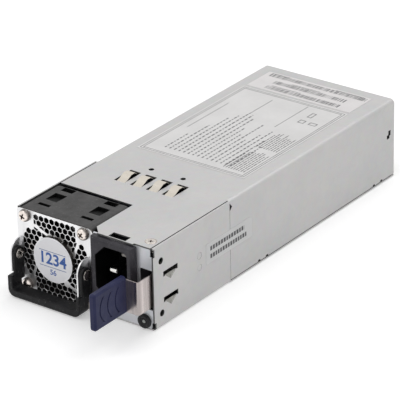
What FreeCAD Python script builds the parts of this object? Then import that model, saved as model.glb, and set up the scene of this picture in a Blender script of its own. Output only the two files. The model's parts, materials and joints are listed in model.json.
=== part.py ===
import FreeCAD, Part
import math
import os
import re
import Sketcher

Vector = FreeCAD.Vector
Turn = FreeCAD.Rotation

# Hot swap server power supply: a folded steel case with a fan, a mains inlet, a spring latch and a
# swinging bail at the front, and a board with a card edge at the rear.
# The origin is the middle of the case's underside. X runs across, Y runs from front to rear, Z is up.

# Driving dimensions in millimetres. Each is one cell of the sheet.
sizes = {
    # case
    "caseWidth": 73.5, "caseHeight": 39.0, "caseDepth": 185.0, "sheetWall": 0.8, "sheetGap": 0.1,
    "foldRadius": 1.2, "coverRadius": 2.2, "seamDepth": 54.7, "flangeLift": 1.1, "notchSize": 1.8,
    "sideHole": 1.5, "sideHoleDepth": 5.3, "sideHoleLow": 6.6, "sideHoleHigh": 31.3,
    "slitLength": 10.0, "slitHeight": 1.1, "slitLeg": 1.2, "slitLegWidth": 1.0, "slitFront": 6.8,
    "slitLow": 12.2, "slitHigh": 24.4, "dentDrop": 3.4, "dentDepth": 0.6,
    "reliefHeight": 3.6, "reliefWidth": 1.1, "reliefIn": 0.8,
    # cover
    "lidGap": 0.5, "lipReach": 0.9, "lipStart": 3.7, "lipWidth": 19.1, "snapSlotStart": 9.4, "snapSlotWidth": 9.0,
    "snapSlotDepth": 3.5, "snapStrip": 0.5, "coverScrewInset": 4.35, "coverScrewDepth": 5.5,
    "coverScrewHole": 1.7,
    "coverScrewHead": 2.7, "coverScrewLength": 4.0, "cutoutRadius": 0.4,
    "windowCount": 4, "windowPitch": 8.7, "windowWidth": 5.8, "windowLength": 12.1,
    "windowStart": -18.0, "windowDepth": 44.2, "pinHole": 1.2, "pinHoleBack": 5.4,
    "hookHole": 0.9, "hookHeight": 2.6, "hookZ": 22.0, "hookFromRear": 4.0,
    # earthing spring strip
    "springSheet": 0.25, "fingerWidth": 4.4, "fingerRise": 1.4, "stripLand": 5.0, "rivetRadius": 0.8,
    # front panel
    "panelWall": 0.8, "tabWidth": 8.6, "latchSlotWidth": 6.4, "latchSlotLow": 9.6, "latchSlotHigh": 28.4,
    # fan
    "fanSize": 40.0, "fanDepth": 28.0, "fanSetback": 0.6, "fanGap": 0.05, "boreRim": 0.5,
    "fanHole": 1.75, "fanTopGap": 0.1, "fanHoleSide": 4.0, "fanHoleInset": 2.9, "fanCorner": 2.0, "fanRearCorner": 3.0, "ductWall": 1.2,
    "pitCentre": 11.8, "pitWidth": 6.2, "pitStart": 11.8, "pitLength": 7.2, "pitDepth": 2.0,
    "slotStartFront": 6.3, "slotStartRear": 22.3, "slotFront": 1.8, "slotRear": 3.4, "slotSink": 2.4,
    "hubRadius": 9.6, "hubWall": 0.9, "hubFront": 1.6, "hubLength": 20.4, "tipGap": 0.5,
    "bladeCount": 5, "bladeSweep": 10.5, "bladeWall": 1.3, "bladeLength": 17.5,
    "shaftRadius": 1.5, "shaftGap": 0.02, "bearingRadius": 3.2, "bearingLength": 2.6, "tubeWall": 0.8,
    "motorBase": 2.4, "strutCount": 4, "strutWidth": 2.2, "magnetWall": 0.9, "statorLength": 9.0,
    "poleGap": 0.4, "poleCount": 4,
    # grille plate
    "plateWall": 0.8, "plateMargin": 0.1, "plateSkirt": 0.9, "plateCorner": 2.0, "hexPitch": 2.9,
    "hexFlats": 2.55, "latticeDrop": 0.55, "discRadius": 10.6, "discRise": 2.0, "spokeWidth": 1.3,
    "spokeStart": 2.2, "spokeReach": 12.0, "spokeRise": 13.2, "cornerZone": 11.4, "meshRadius": 18.6,
    "meshHalfWidth": 17.6, "meshRim": 1.0, "grilleHeadRadius": 2.85, "grilleHeadHeight": 2.4,
    "grilleScrewRadius": 1.7, "grilleScrewLength": 8.0,
    "stickerRadius": 10.3, "labelWall": 0.12,
    # handle
    "pivotReach": 3.8, "pivotDrop": 0.5, "pivotRadius": 1.5, "pivotGap": 0.08, "eyeRadius": 3.3,
    "bailWidth": 39.4, "bailWall": 2.5, "armWall": 1.3, "rightWall": 1.7, "bailFloor": 3.1,
    "bailReach": 9.6, "bailLift": 0.3, "bailStep": 10.0, "bailCorner": 3.4, "bailInnerCorner": 1.2,
    "bailClear": 0.3, "earWall": 0.8, "earGap": 0.25, "earReach": 7.2, "earClear": 0.9,
    "earDrop": 8.0, "earRise": 6.2, "earRadius": 5.8, "rivetHead": 2.3,
    "rivetHeadHeight": 0.35,
    # inlet
    "rimSideGap": 0.2, "rimTopGap": 0.4, "rimLipX": 1.5, "rimLipZ": 1.7, "rimReach": 3.3,
    "rimBevel": 1.0, "shellWallX": 1.55, "shellWallZ": 1.4, "shellFloor": 4.1, "shellGap": 0.2,
    "cavityWidth": 16.8, "cavityHeight": 24.8, "cavityDepth": 16.4, "cavityCut": 5.0,
    "cavityRound": 2.4, "pinWidth": 4.0, "pinThick": 2.0, "pinSpread": 7.0, "pinOffset": 2.0,
    "linePinInset": 6.8, "earthPinInset": 3.6, "tabLength": 6.0,
    # latch
    "springWall": 0.6, "springHeight": 15.6, "springLow": 11.0, "springReach": 8.5,
    "springGap": 0.5, "springArmHeight": 8.4, "springArmSetback": 2.4,
    "rootDepth": 28.0, "rootLength": 9.0, "rootGap": 0.3, "latchRivetRadius": 1.5,
    "latchRivetDepth": 32.3, "latchRivetLow": 16.6, "latchRivetHigh": 22.2, "rivetCrown": 0.5,
    "paddleWall": 3.4, "paddleLength": 21.2, "paddleHeight": 17.2, "paddleLow": 10.6,
    "paddleInset": 6.15, "paddleBevel": 0.8, "paddleNose": 1.4, "tongueLength": 9.0,
    "grooveCount": 3, "grooveRadius": 8.5, "grooveWidth": 0.6, "grooveSink": 0.4, "groovePitch": 5.1,
    "grooveStart": 7.9, "grooveHeight": 11.6,
    # status lamp
    "lampLift": 0.45, "bezelRadius": 3.3, "bezelReach": 1.5, "bezelRound": 0.6,
    "barrelRadius": 2.3, "barrelLength": 6.0, "lampRadius": 0.8, "lampReach": 0.3, "lampLength": 9.0,
    # rear
    "cardWidth": 64.6, "cardReach": 9.5, "cardBevel": 0.5, "keyWidth": 1.5, "keyDepth": 7.5,
    "keyNumber": 17, "contactCount": 24, "contactPitch": 2.54, "contactWidth": 1.8, "contactLength": 7.6,
    "contactWall": 0.05, "rearSlotGap": 0.6, "ventPitch": 6.4, "ventFlats": 5.4, "ventMargin": 3.0,
    # labels
    "ratingWidth": 58.6, "ratingFront": 76.6, "labelGap": 1.6, "barcodeWidth": 57.6,
    "barcodeBack": 24.6, "barcodeLength": 18.8, "labelX": -0.8, "sideLabelFront": 37.0,
    "sideLabelLength": 33.8, "sideLabelHeight": 9.6, "sideLabelLow": 15.9,
    # board
    "boardLift": 4.0, "boardWall": 1.6, "boardGap": 0.45, "boardFront": 31.0, "filmWall": 0.25,
    "spacerRadius": 2.6, "spacerX": 30.8, "spacerFront": 37.0, "spacerBack": 10.0,
    "boardHeadRadius": 2.5, "boardHeadHeight": 1.5, "boardScrewRadius": 1.2, "boardScrewLength": 4.0,
    "screwGap": 0.2,
    # parts on the board: widths along X, lengths along Y, places from the front plane
    "bulkTopGap": 3.8, "bulkLength": 45.0, "bulkX": -19.6, "bulkFront": 35.0, "coilRing": 7.4, "coilCore": 2.4, "coilWire": 3.8, "coilX": 20.0,
    "coilFront": 50.0, "coilGap": 6.0, "fuseRadius": 2.6, "fuseLength": 20.0, "fuseFront": 35.5,
    "fuseX": 15.0, "capWidth": 26.0, "capLength": 9.5, "capHeight": 19.0, "capFront": 64.0,
    "capPitch": 12.0, "discCapRadius": 3.6, "discCapWall": 3.0, "discCapX": 30.5,
    "discCapFront": 89.5, "discCapPitch": 8.0, "relayWidth": 13.0, "relayLength": 20.0,
    "relayHeight": 16.0, "relayX": 9.0, "relayFront": 88.0,
    "sinkX": -2.0, "sinkWall": 3.0, "sinkFront": 84.0, "sinkTopGap": 5.6, "finCount": 7, "finWall": 1.2, "finReach": 7.0, "finPitch": 9.6,
    "packWidth": 4.4, "packLength": 10.2, "packHeight": 15.6, "packLift": 3.0, "packCount": 3,
    "packPitch": 11.4, "chokeWidth": 17.0, "chokeLength": 24.0, "chokeHeight": 22.0, "chokeX": -19.5,
    "chokeFront": 90.0, "coreWall": 5.0, "coreGap": 1.2, "transWidth": 26.0, "transLength": 32.0,
    "transTopGap": 6.6, "transX": 19.5, "transBack": 71.0, "filterCount": 4,
    "filterRadius": 5.0, "filterHeight": 11.5, "filterPitch": 11.0, "filterBack": 10.5,
    "outSinkWidth": 26.0, "outSinkLength": 16.0, "outSinkHeight": 20.0, "outSinkX": 17.5,
    "outSinkBack": 35.0, "outFinCount": 6, "outSinkBase": 2.5, "cardBoardWall": 1.6,
    "cardBoardLength": 50.0, "cardBoardTopGap": 5.6, "cardBoardBack": 65.0, "chipWidth": 8.0,
    "chipWall": 1.2, "chipCount": 4, "chipPitch": 11.5,
}

# Lengths that follow from the driving dimensions.
rules = {
    "sideX": "caseWidth / 2",
    "wallX": "sideX - sheetWall",
    "frontY": "-caseDepth / 2",
    "rearY": "caseDepth / 2",
    "seamY": "frontY + seamDepth",
    "tuckX": "wallX - sheetGap",
    "coverZ": "caseHeight - sheetWall",
    "fanX": "fanSize / 2 + fanGap - wallX",
    "fanZ": "caseHeight / 2",
    "fanY": "frontY + fanSetback",
    "fanRear": "fanY + fanDepth",
    "fanRight": "fanX + fanSize / 2",
    "plateY": "fanY - plateWall",
    "fanHeight": "caseHeight - 2 * fanTopGap",
    "fanBore": "fanHeight / 2 - boreRim",
    "fanPitchX": "fanSize - 2 * fanHoleSide",
    "fanPitchZ": "fanHeight - 2 * fanHoleInset",
    "plateRight": "fanRight + plateSkirt",
    "coverLeft": "fanRight + sheetGap",
    "panelLeft": "plateRight + sheetGap",
    "meshHalfHeight": "fanHeight / 2 - meshRim",
    "coverScrewX": "wallX - coverScrewInset",
    "shellWidth": "cavityWidth + 2 * shellWallX",
    "shellHeight": "cavityHeight + 2 * shellWallZ",
    "shellDepth": "cavityDepth - rimReach + shellFloor",
    "rimWidth": "shellWidth + 2 * rimLipX",
    "rimHeight": "shellHeight + 2 * rimLipZ",
    "inletX": "panelLeft + rimSideGap + rimWidth / 2",
    "inletZ": "coverZ - rimTopGap - rimHeight / 2",
    "paddleRight": "springX - paddleInset",
    "lampX": "inletX + rimWidth / 2 + sheetGap + bezelRadius",
    "lampZ": "lampLift + bezelRadius",
    "pivotZ": "fanZ - pivotDrop",
    "pivotY": "plateY - pivotReach",
    "bailLeft": "fanX - bailWidth / 2",
    "bailRight": "fanX + bailWidth / 2",
    "bailY": "plateY - bailReach",
    "eyeRear": "pivotY + eyeRadius",
    "springX": "wallX - springWall",
    "armX": "wallX - springGap",
    "springMiddle": "springLow + springHeight / 2",
    "screwReliefZ": "fanZ - fanPitchZ / 2 + grilleHeadRadius",
    "earTop": "pivotZ + earRise",
    "rootY": "frontY + rootDepth",
    "foldY": "frontY - springReach",
    "paddleY": "foldY - springWall",
    "boardTop": "boardLift + boardWall",
    "bulkRadius": "(coverZ - boardTop - bulkTopGap) / 2",
    "sinkHeight": "coverZ - boardTop - sinkTopGap",
    "transHeight": "coverZ - boardTop - transTopGap",
    "cardBoardHeight": "coverZ - boardTop - cardBoardTopGap",
    "spacerPitch": "caseDepth - spacerFront - spacerBack",
    "transFront": "caseDepth - transBack",
    "sinkLength": "transFront + transLength - sinkFront",
    "outSinkFront": "caseDepth - outSinkBack",
    "filterFront": "caseDepth - filterBack",
    "cardBoardFront": "caseDepth - cardBoardBack",
    "barcodeFront": "caseDepth - barcodeBack",
    "ratingLength": "barcodeFront - labelGap - ratingFront",
    "boardX": "tuckX - sheetWall - boardGap",
    "boardY": "frontY + boardFront",
}

word = re.compile(r"[A-Za-z]\w*")


def formula(text):
    """Writes a formula of named sizes in the form that the sheet's aliases need."""
    def spelled(found):
        name = found.group(0)
        if name in rules:
            return "(" + formula(rules[name]) + ")"
        return "Sheet." + name if name in sizes else name
    return word.sub(spelled, str(text))


doc = FreeCAD.newDocument("ServerPowerSupply")
sheet = doc.addObject("Spreadsheet::Sheet", "Sheet")
for row, (alias, number) in enumerate(sizes.items(), start=1):
    sheet.set(f"A{row}", alias)
    sheet.set(f"B{row}", str(number))
    sheet.setAlias(f"B{row}", alias)
doc.recompute()

parts = {}


def value(text):
    return float(sheet.evalExpression(formula(text)))


def tie(item, **formulas):
    for name, text in formulas.items():
        item.setExpression(name, formula(text))


def seat(item, x=0, y=0, z=0):
    for axis, text in zip("xyz", (x, y, z)):
        item.setExpression("Placement.Base." + axis, formula(text))
    return item


def keep(item, label):
    item.Label = label
    parts[label] = item
    return item


# Primitives and booleans

def block(name, size, corner):
    item = doc.addObject("Part::Box", name)
    tie(item, Length=size[0], Width=size[1], Height=size[2])
    return seat(item, *corner)


axisTurns = {"x": Turn(Vector(0, 1, 0), 90), "y": Turn(Vector(1, 0, 0), -90), "z": Turn()}


def rod(name, radius, length, start, axis="z"):
    item = doc.addObject("Part::Cylinder", name)
    item.Placement.Rotation = axisTurns[axis]
    tie(item, Radius=radius, Height=length)
    return seat(item, *start)


def prism(name, sides, radius, length, start, axis="z"):
    item = doc.addObject("Part::Prism", name)
    item.Placement.Rotation = axisTurns[axis]
    item.Polygon = sides
    tie(item, Circumradius=radius, Height=length)
    return seat(item, *start)


def cone(name, radii, length, start, axis="z"):
    item = doc.addObject("Part::Cone", name)
    item.Placement.Rotation = axisTurns[axis]
    tie(item, Radius1=radii[0], Radius2=radii[1], Height=length)
    return seat(item, *start)


def joined(name, members):
    item = doc.addObject("Part::MultiFuse", name)
    item.Shapes = members
    return item


def grouped(name, members):
    item = doc.addObject("Part::Compound", name)
    item.Links = members
    return item


def cut(name, base, tools):
    item = doc.addObject("Part::Cut", name)
    item.Base = base
    item.Tool = tools[0] if len(tools) == 1 else grouped(name + "Tools", tools)
    return item


def solid(name, shape):
    """A piece whose outline repeats too often to be sketched."""
    item = doc.addObject("Part::Feature", name)
    item.Shape = shape
    item.Placement = FreeCAD.Placement()
    return item


# Bodies made of sketches

planeAxes = {"XY_Plane": "XY", "XZ_Plane": "XZ", "YZ_Plane": "YZ"}


def newBody(name):
    return doc.addObject("PartDesign::Body", name)


def sketchOn(body, name, plane, level=0):
    """A sketch on one of the body's own planes, at a level along X, Y or Z."""
    sketch = body.newObject("Sketcher::SketchObject", name)
    support = [item for item in body.Origin.OriginFeatures if item.Role == plane][0]
    sketch.AttachmentSupport = [(support, "")]
    sketch.MapMode = "FlatFace"
    sign = "-" if plane == "XZ_Plane" else ""
    sketch.setExpression("AttachmentOffset.Base.z", formula(f"{sign}({level})"))
    return sketch


def hold(sketch, kind, place, text):
    number = sketch.addConstraint(Sketcher.Constraint(kind, *place, value(text)))
    sketch.setExpression(f"Constraints[{number}]", formula(text))


def outline(sketch, corners):
    """A closed outline of straight lines whose corners follow the sheet."""
    first = sketch.GeometryCount
    spots = [Vector(value(x), value(y), 0) for x, y in corners]
    for spot, following in zip(spots, spots[1:] + spots[:1]):
        sketch.addGeometry(Part.LineSegment(spot, following), False)
    count = len(corners)
    for step in range(count):
        edge, following = first + step, first + (step + 1) % count
        sketch.addConstraint(Sketcher.Constraint("Coincident", edge, 2, following, 1))
    for step, (x, y) in enumerate(corners):
        hold(sketch, "DistanceX", (-1, 1, first + step, 1), x)
        hold(sketch, "DistanceY", (-1, 1, first + step, 1), y)
    return sketch


def frame(sketch, left, right, low, high):
    return outline(sketch, [(left, low), (right, low), (right, high), (left, high)])


def ring(sketch, x, y, radius):
    centre = Vector(value(x), value(y), 0)
    edge = sketch.addGeometry(Part.Circle(centre, Vector(0, 0, 1), value(radius)), False)
    hold(sketch, "DistanceX", (-1, 1, edge, 3), x)
    hold(sketch, "DistanceY", (-1, 1, edge, 3), y)
    hold(sketch, "Radius", (edge,), radius)
    return sketch


def pad(body, sketch, length, towardPlus=True):
    """Adds material from the sketch's plane along +X, +Y or +Z, or the other way."""
    item = body.newObject("PartDesign::Pad", sketch.Name + "Pad")
    item.Profile = sketch
    tie(item, Length=length)
    item.Reversed = towardPlus == (sketch.AttachmentSupport[0][0].Role == "XZ_Plane")
    sketch.Visibility = False
    doc.recompute()
    return item


def pocket(body, sketch, depth, towardPlus=True):
    """Removes material from the sketch's plane along +X, +Y or +Z, or the other way."""
    before = body.Shape.Volume
    item = body.newObject("PartDesign::Pocket", sketch.Name + "Pocket")
    item.Profile = sketch
    tie(item, Length=depth)
    item.Reversed = towardPlus != (sketch.AttachmentSupport[0][0].Role == "XZ_Plane")
    doc.recompute()
    if not item.Shape.Volume < before:
        raise ValueError(f"{sketch.Name} cuts nothing")
    return item


def edgesWhere(shape, test):
    return [f"Edge{count}" for count, edge in enumerate(shape.Edges, start=1) if test(edge)]


def soften(body, name, kind, size, test):
    """Rounds or bevels the body's edges that pass the test."""
    base = body.Tip
    item = body.newObject("PartDesign::" + kind, name)
    item.Base = (base, edgesWhere(base.Shape, test))
    tie(item, **{"Radius" if kind == "Fillet" else "Size": size})
    doc.recompute()
    return item


def near(number, text):
    return abs(number - value(text)) < 0.01


def along(edge, axis):
    """True for a straight edge that runs along the named axis."""
    if len(edge.Vertexes) != 2 or not isinstance(edge.Curve, Part.Line):
        return False
    step = edge.Vertexes[1].Point - edge.Vertexes[0].Point
    return abs(abs(getattr(step, axis)) - step.Length) < 0.001


def middle(edge):
    return edge.CenterOfMass


# Case

def makeBase():
    """The folded tray: floor and side walls, tucked in under the cover behind the side seam."""
    body = newBody("Base")
    tray = sketchOn(body, "TrayOutline", "XZ_Plane", "frontY")
    outline(tray, [("-sideX", 0), ("sideX", 0), ("sideX", "caseHeight"), ("wallX", "caseHeight"),
                   ("wallX", "sheetWall"), ("-wallX", "sheetWall"), ("-wallX", "caseHeight"),
                   ("-sideX", "caseHeight")])
    pad(body, tray, "seamDepth")
    soften(body, "TrayFold", "Fillet", "foldRadius", lambda edge: along(edge, "y") and
           near(middle(edge).z, 0) and near(abs(middle(edge).x), "sideX"))
    tuck = sketchOn(body, "TuckOutline", "XZ_Plane", "seamY")
    inner, top = "tuckX - sheetWall", "coverZ - sheetGap"
    outline(tuck, [("-sideX", 0), ("sideX", 0), ("sideX", "sheetWall"), ("tuckX", "sheetWall"),
                   ("tuckX", top), (inner, top), (inner, "sheetWall"), (f"-({inner})", "sheetWall"),
                   (f"-({inner})", top), ("-tuckX", top), ("-tuckX", "sheetWall"),
                   ("-sideX", "sheetWall")])
    pad(body, tuck, "caseDepth - seamDepth")
    for side, sign in (("Right", ""), ("Left", "-")):
        joggle = sketchOn(body, f"{side}Joggle", "XZ_Plane", "seamY - sheetWall")
        edges = (f"{sign}({inner})", f"{sign}(sideX)")
        frame(joggle, edges[sign == "-"], edges[sign == ""], "sheetWall / 2", top)
        pad(body, joggle, "sheetWall")
    setback = sketchOn(body, "FanSetback", "XZ_Plane", "frontY")
    frame(setback, "-sideX", "fanX", 0, "caseHeight")
    pocket(body, setback, "fanSetback")
    floor = sketchOn(body, "FanOpening", "XY_Plane")
    frame(floor, "-wallX", "panelLeft", "frontY", "fanRear + sheetGap * 2")
    pocket(body, floor, "sheetWall")
    sides = sketchOn(body, "SideHoles", "YZ_Plane", "sideX")
    for height in ("sideHoleLow", "sideHoleHigh"):
        ring(sides, "frontY + sideHoleDepth", height, "sideHole")
    for height in ("slitLow", "slitHigh"):
        start, end, foot = "frontY + slitFront", "frontY + slitFront + slitLength", f"{height} - slitLeg"
        outline(sides, [(start, foot), (f"{start} + slitLegWidth", foot),
                        (f"{start} + slitLegWidth", height), (f"{end} - slitLegWidth", height),
                        (f"{end} - slitLegWidth", foot), (end, foot), (end, f"{height} + slitHeight"),
                        (start, f"{height} + slitHeight")])
    for height in ("latchRivetLow", "latchRivetHigh"):
        ring(sides, "frontY + latchRivetDepth", height, "latchRivetRadius")
    pocket(body, sides, "sheetWall", towardPlus=False)
    relief = sketchOn(body, "FoldRelief", "YZ_Plane", "sideX")
    for low, high in (("0", "reliefHeight"), ("coverZ - reliefHeight", "coverZ")):
        frame(relief, "frontY", "frontY + reliefWidth", low, high)
    pocket(body, relief, "sheetWall", towardPlus=False)
    dents = [ramp(f"SlitDent{count}", "slitLength", "dentDrop", "dentDepth",
                  ("sideX", "frontY + slitFront", height))
             for count, height in enumerate(("slitLow", "slitHigh"))]
    keep(cut("DentedBase", body, dents), "base_chassis")


def ramp(name, length, drop, depth, corner):
    """A wedge below a line along Y in a wall that looks along +X, deepest at the line."""
    item = doc.addObject("Part::Wedge", name)
    item.Placement.Rotation = Turn(Vector(0, 1, 0), Vector(0, 0, -1), Vector(-1, 0, 0), "XYZ")
    tie(item, Xmin="0", Xmax=length, Ymin="0", Ymax=drop, Zmin="0", Zmax=depth,
        X2min=f"{length} / 2 - sheetGap", X2max=f"{length} / 2 + sheetGap", Z2min="0", Z2max="sheetGap")
    return seat(item, *corner)


def makeCover():
    """The lid: top plate with the fan's cut-out, and long side flanges behind the seam."""
    body = newBody("Cover")
    hood = sketchOn(body, "HoodOutline", "XZ_Plane", "seamY + sheetGap")
    outline(hood, [("-sideX", "flangeLift"), ("-wallX", "flangeLift"), ("-wallX", "coverZ"),
                   ("wallX", "coverZ"), ("wallX", "flangeLift"), ("sideX", "flangeLift"),
                   ("sideX", "caseHeight"), ("-sideX", "caseHeight")])
    pad(body, hood, "rearY - seamY - sheetGap")
    soften(body, "HoodFold", "Fillet", "coverRadius", lambda edge: along(edge, "y") and
           near(middle(edge).z, "caseHeight"))
    nose = sketchOn(body, "NoseOutline", "XY_Plane", "coverZ")
    edge = "wallX - lidGap"
    outline(nose, [(f"-({edge})", "seamY + sheetGap"), (f"-({edge})", "fanRear + sheetGap * 2"),
                   ("coverLeft", "fanRear + sheetGap * 2"), ("coverLeft", "frontY + lipStart"),
                   ("coverLeft + lipStart", "frontY"), ("coverLeft + lipStart", "frontY - lipReach"),
                   ("coverLeft + lipStart + lipWidth", "frontY - lipReach"),
                   ("coverLeft + lipStart + lipWidth", "frontY"), (edge, "frontY"),
                   (edge, "seamY + sheetGap")])
    pad(body, nose, "sheetWall")
    soften(body, "CutoutCorner", "Fillet", "cutoutRadius", lambda edge: along(edge, "z") and
           near(middle(edge).x, "coverLeft") and near(middle(edge).y, "fanRear + sheetGap * 2"))
    holes = sketchOn(body, "TopHoles", "XY_Plane", "caseHeight")
    frame(holes, "coverLeft + snapSlotStart", "coverLeft + snapSlotStart + snapSlotWidth",
          "frontY - lipReach + snapStrip", "frontY + snapSlotDepth")
    ring(holes, "coverScrewX", "frontY + coverScrewDepth", "coverScrewHole")
    for count in range(int(value("windowCount"))):
        left = f"windowStart + windowPitch * {count}"
        frame(holes, left, f"{left} + windowWidth", "frontY + windowDepth",
              "frontY + windowDepth + windowLength")
    for count in (1, 3):
        ring(holes, f"windowStart + windowPitch * {count} - (windowPitch - windowWidth) / 2",
             "frontY + windowDepth + windowLength + pinHoleBack", "pinHole")
    pocket(body, holes, "sheetWall", towardPlus=False)
    hook = sketchOn(body, "HookHole", "YZ_Plane", "sideX")
    frame(hook, "rearY - hookFromRear - hookHole", "rearY - hookFromRear + hookHole", "hookZ",
          "hookZ + hookHeight")
    outline(hook, [("seamY", "coverZ - coverRadius - notchSize"),
                   ("seamY + notchSize", "coverZ - coverRadius"), ("seamY", "coverZ")])
    pocket(body, hook, "sheetWall", towardPlus=False)
    sink = cone("CoverSink", ("coverScrewHole", "coverScrewHead + sheetGap"), "sheetWall",
                ("coverScrewX", "frontY + coverScrewDepth", "coverZ"))
    keep(cut("SunkCover", body, [sink]), "top_cover")


def makeCoverScrew():
    """The flat screw that holds the cover, its head flush with the top."""
    place = ("coverScrewX", "frontY + coverScrewDepth")
    head = cone("CoverScrewHead", ("coverScrewHole - sheetGap", "coverScrewHead"), "sheetWall",
                place + ("coverZ",))
    shank = rod("CoverScrewShank", "coverScrewHole - sheetGap", "coverScrewLength",
                place + ("coverZ - coverScrewLength",))
    keep(joined("CoverScrew", [head, shank]), "cover_screw")


def makeEarthStrip():
    """The thin spring strip under the cover, with four bowed fingers that rise through its windows."""
    body = newBody("EarthStrip")
    low, high = "coverZ - springSheet", "coverZ"
    land = sketchOn(body, "StripLand", "XY_Plane", low)
    left = "windowStart - stripLand"
    right = "windowStart + windowPitch * (windowCount - 1) + windowWidth + stripLand"
    frame(land, left, right, "frontY + windowDepth - stripLand", "frontY + windowDepth")
    pad(body, land, "springSheet")
    start, end = "frontY + windowDepth", "frontY + windowDepth + windowLength"
    crest = "caseHeight + fingerRise"
    stations = [(start, low), (f"{start} + windowLength * 0.25", "coverZ + sheetWall / 2"),
                (f"{start} + windowLength * 0.5", f"{crest} - springSheet"),
                (f"{start} + windowLength * 0.7", f"{crest} - springSheet"),
                (f"{end} - windowLength * 0.06", "coverZ - sheetWall / 2")]
    upper = [(y, f"{z} + springSheet") for y, z in reversed(stations)]
    for count in range(int(value("windowCount"))):
        middleX = f"windowStart + windowPitch * {count} + windowWidth / 2"
        finger = sketchOn(body, f"Finger{count}", "YZ_Plane", f"{middleX} - fingerWidth / 2")
        outline(finger, stations + upper)
        pad(body, finger, "fingerWidth")
    keep(body, "earth_spring_strip")
    rivets = []
    for count in range(int(value("windowCount")) - 1):
        gapX = f"windowStart + windowPitch * {count} + (windowPitch + windowWidth) / 2"
        rivets.append(rod(f"StripRivet{count}", "rivetRadius", "springSheet * 2",
                          (gapX, "frontY + windowDepth - stripLand / 2", "coverZ - springSheet * 3")))
    keep(grouped("StripRivets", rivets), "earth_strip_rivets")


def makeFrontPanel():
    """The steel panel beside the fan, cut out for the inlet, the latch spring and the lamp."""
    body = newBody("FrontPanel")
    sheetOutline = sketchOn(body, "PanelOutline", "XZ_Plane", "frontY")
    right = "wallX - sheetGap"
    notch = f"{right} - reliefIn"
    outline(sheetOutline, [("panelLeft", "sheetWall"), (notch, "sheetWall"), (notch, "reliefHeight"),
                           (right, "reliefHeight"), (right, "latchSlotLow"),
                           (f"{right} - latchSlotWidth", "latchSlotLow"),
                           (f"{right} - latchSlotWidth", "latchSlotHigh"), (right, "latchSlotHigh"),
                           (right, "coverZ - reliefHeight"), (notch, "coverZ - reliefHeight"),
                           (notch, "coverZ"), ("panelLeft", "coverZ")])
    pad(body, sheetOutline, "panelWall")
    cuts = sketchOn(body, "PanelCuts", "XZ_Plane", "frontY")
    frame(cuts, "inletX - shellWidth / 2 - shellGap", "inletX + shellWidth / 2 + shellGap",
          "inletZ - shellHeight / 2 - shellGap", "inletZ + shellHeight / 2 + shellGap")
    ring(cuts, "lampX", "lampZ", "barrelRadius + sheetGap")
    pocket(body, cuts, "panelWall")
    tab = sketchOn(body, "ScrewTab", "XY_Plane", "coverZ")
    frame(tab, f"{right} - tabWidth", notch, "frontY", "frontY + coverScrewDepth * 2")
    pad(body, tab, "panelWall", towardPlus=False)
    thread = sketchOn(body, "ScrewHole", "XY_Plane", "coverZ")
    ring(thread, "coverScrewX", "frontY + coverScrewDepth", "coverScrewHole - sheetGap")
    pocket(body, thread, "panelWall", towardPlus=False)
    keep(body, "front_panel")


# Hexagonal meshes

def hexagon(x, z, flats, level, depth):
    reach = flats / math.sqrt(3)
    corners = [Vector(x + reach * math.sin(math.radians(60 * step)), level,
                      z + reach * math.cos(math.radians(60 * step))) for step in range(7)]
    return Part.Face(Part.makePolygon(corners)).extrude(Vector(0, depth, 0))


def hexMesh(zone, pitch, flats, centre, half, level, depth):
    """The holes of a honeycomb, trimmed to a zone, without the slivers at its rim."""
    x0, z0 = centre
    rise = pitch * math.sqrt(3) / 2
    whole = flats * flats * math.sqrt(3) / 2 * depth
    rows = int(half[1] / rise) + 1
    columns = int(half[0] / pitch) + 1
    holes = []
    for row in range(-rows, rows + 1):
        shift = pitch / 2 if row % 2 else 0
        for column in range(-columns, columns + 1):
            hole = hexagon(x0 + column * pitch + shift, z0 + row * rise, flats, level, depth)
            shared = hole.common(zone)
            holes += [piece for piece in shared.Solids if piece.Volume > whole * 0.3]
    return holes


def bar(start, end, width, level, depth):
    """A straight band between two points of the plate."""
    run = Vector(end[0] - start[0], 0, end[1] - start[1])
    side = Vector(-run.z, 0, run.x).normalize() * (width / 2)
    first, last = Vector(start[0], level, start[1]), Vector(end[0], level, end[1])
    corners = [first + side, last + side, last - side, first - side, first + side]
    return Part.Face(Part.makePolygon(corners)).extrude(Vector(0, depth, 0))


def makeGrillePlate():
    """The fan's face plate: a honeycomb round a raised disc that four slanting spokes hold."""
    x0, z0, level, wall = value("fanX"), value("fanZ"), value("plateY"), value("plateWall")
    left, right = value("plateMargin - sideX"), value("plateRight")
    low, high = value("plateMargin"), value("caseHeight - plateMargin")
    plate = Part.makeBox(right - left, wall, high - low, Vector(left, level, low))
    corners = [edge for edge in plate.Edges if along(edge, "y")]
    plate = plate.makeFillet(value("plateCorner"), corners)
    zone = grilleZone(x0, z0, level, wall)
    holes = hexMesh(zone, value("hexPitch"), value("hexFlats"), (x0, z0 - value("latticeDrop")),
                    (value("meshHalfWidth"), value("meshHalfHeight")), level, wall)
    halfX, halfZ = value("fanPitchX / 2"), value("fanPitchZ / 2")
    for dx, dz in ((-halfX, -halfZ), (halfX, -halfZ), (-halfX, halfZ), (halfX, halfZ)):
        holes.append(Part.makeCylinder(value("grilleScrewRadius + sheetGap"), wall,
                                       Vector(x0 + dx, level, z0 + dz), Vector(0, 1, 0)))
    rise, radius = value("discRise"), value("discRadius")
    boss = Part.makeCylinder(radius, rise, Vector(x0, level - rise, z0), Vector(0, 1, 0))
    hollow = Part.makeCylinder(radius - wall, rise, Vector(x0, level - rise + wall, z0), Vector(0, 1, 0))
    plate = plate.cut(Part.makeCompound(holes)).fuse(boss).cut(hollow)
    keep(solid("GrillePlate", plate.removeSplitter()), "fan_grille_plate")


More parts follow.
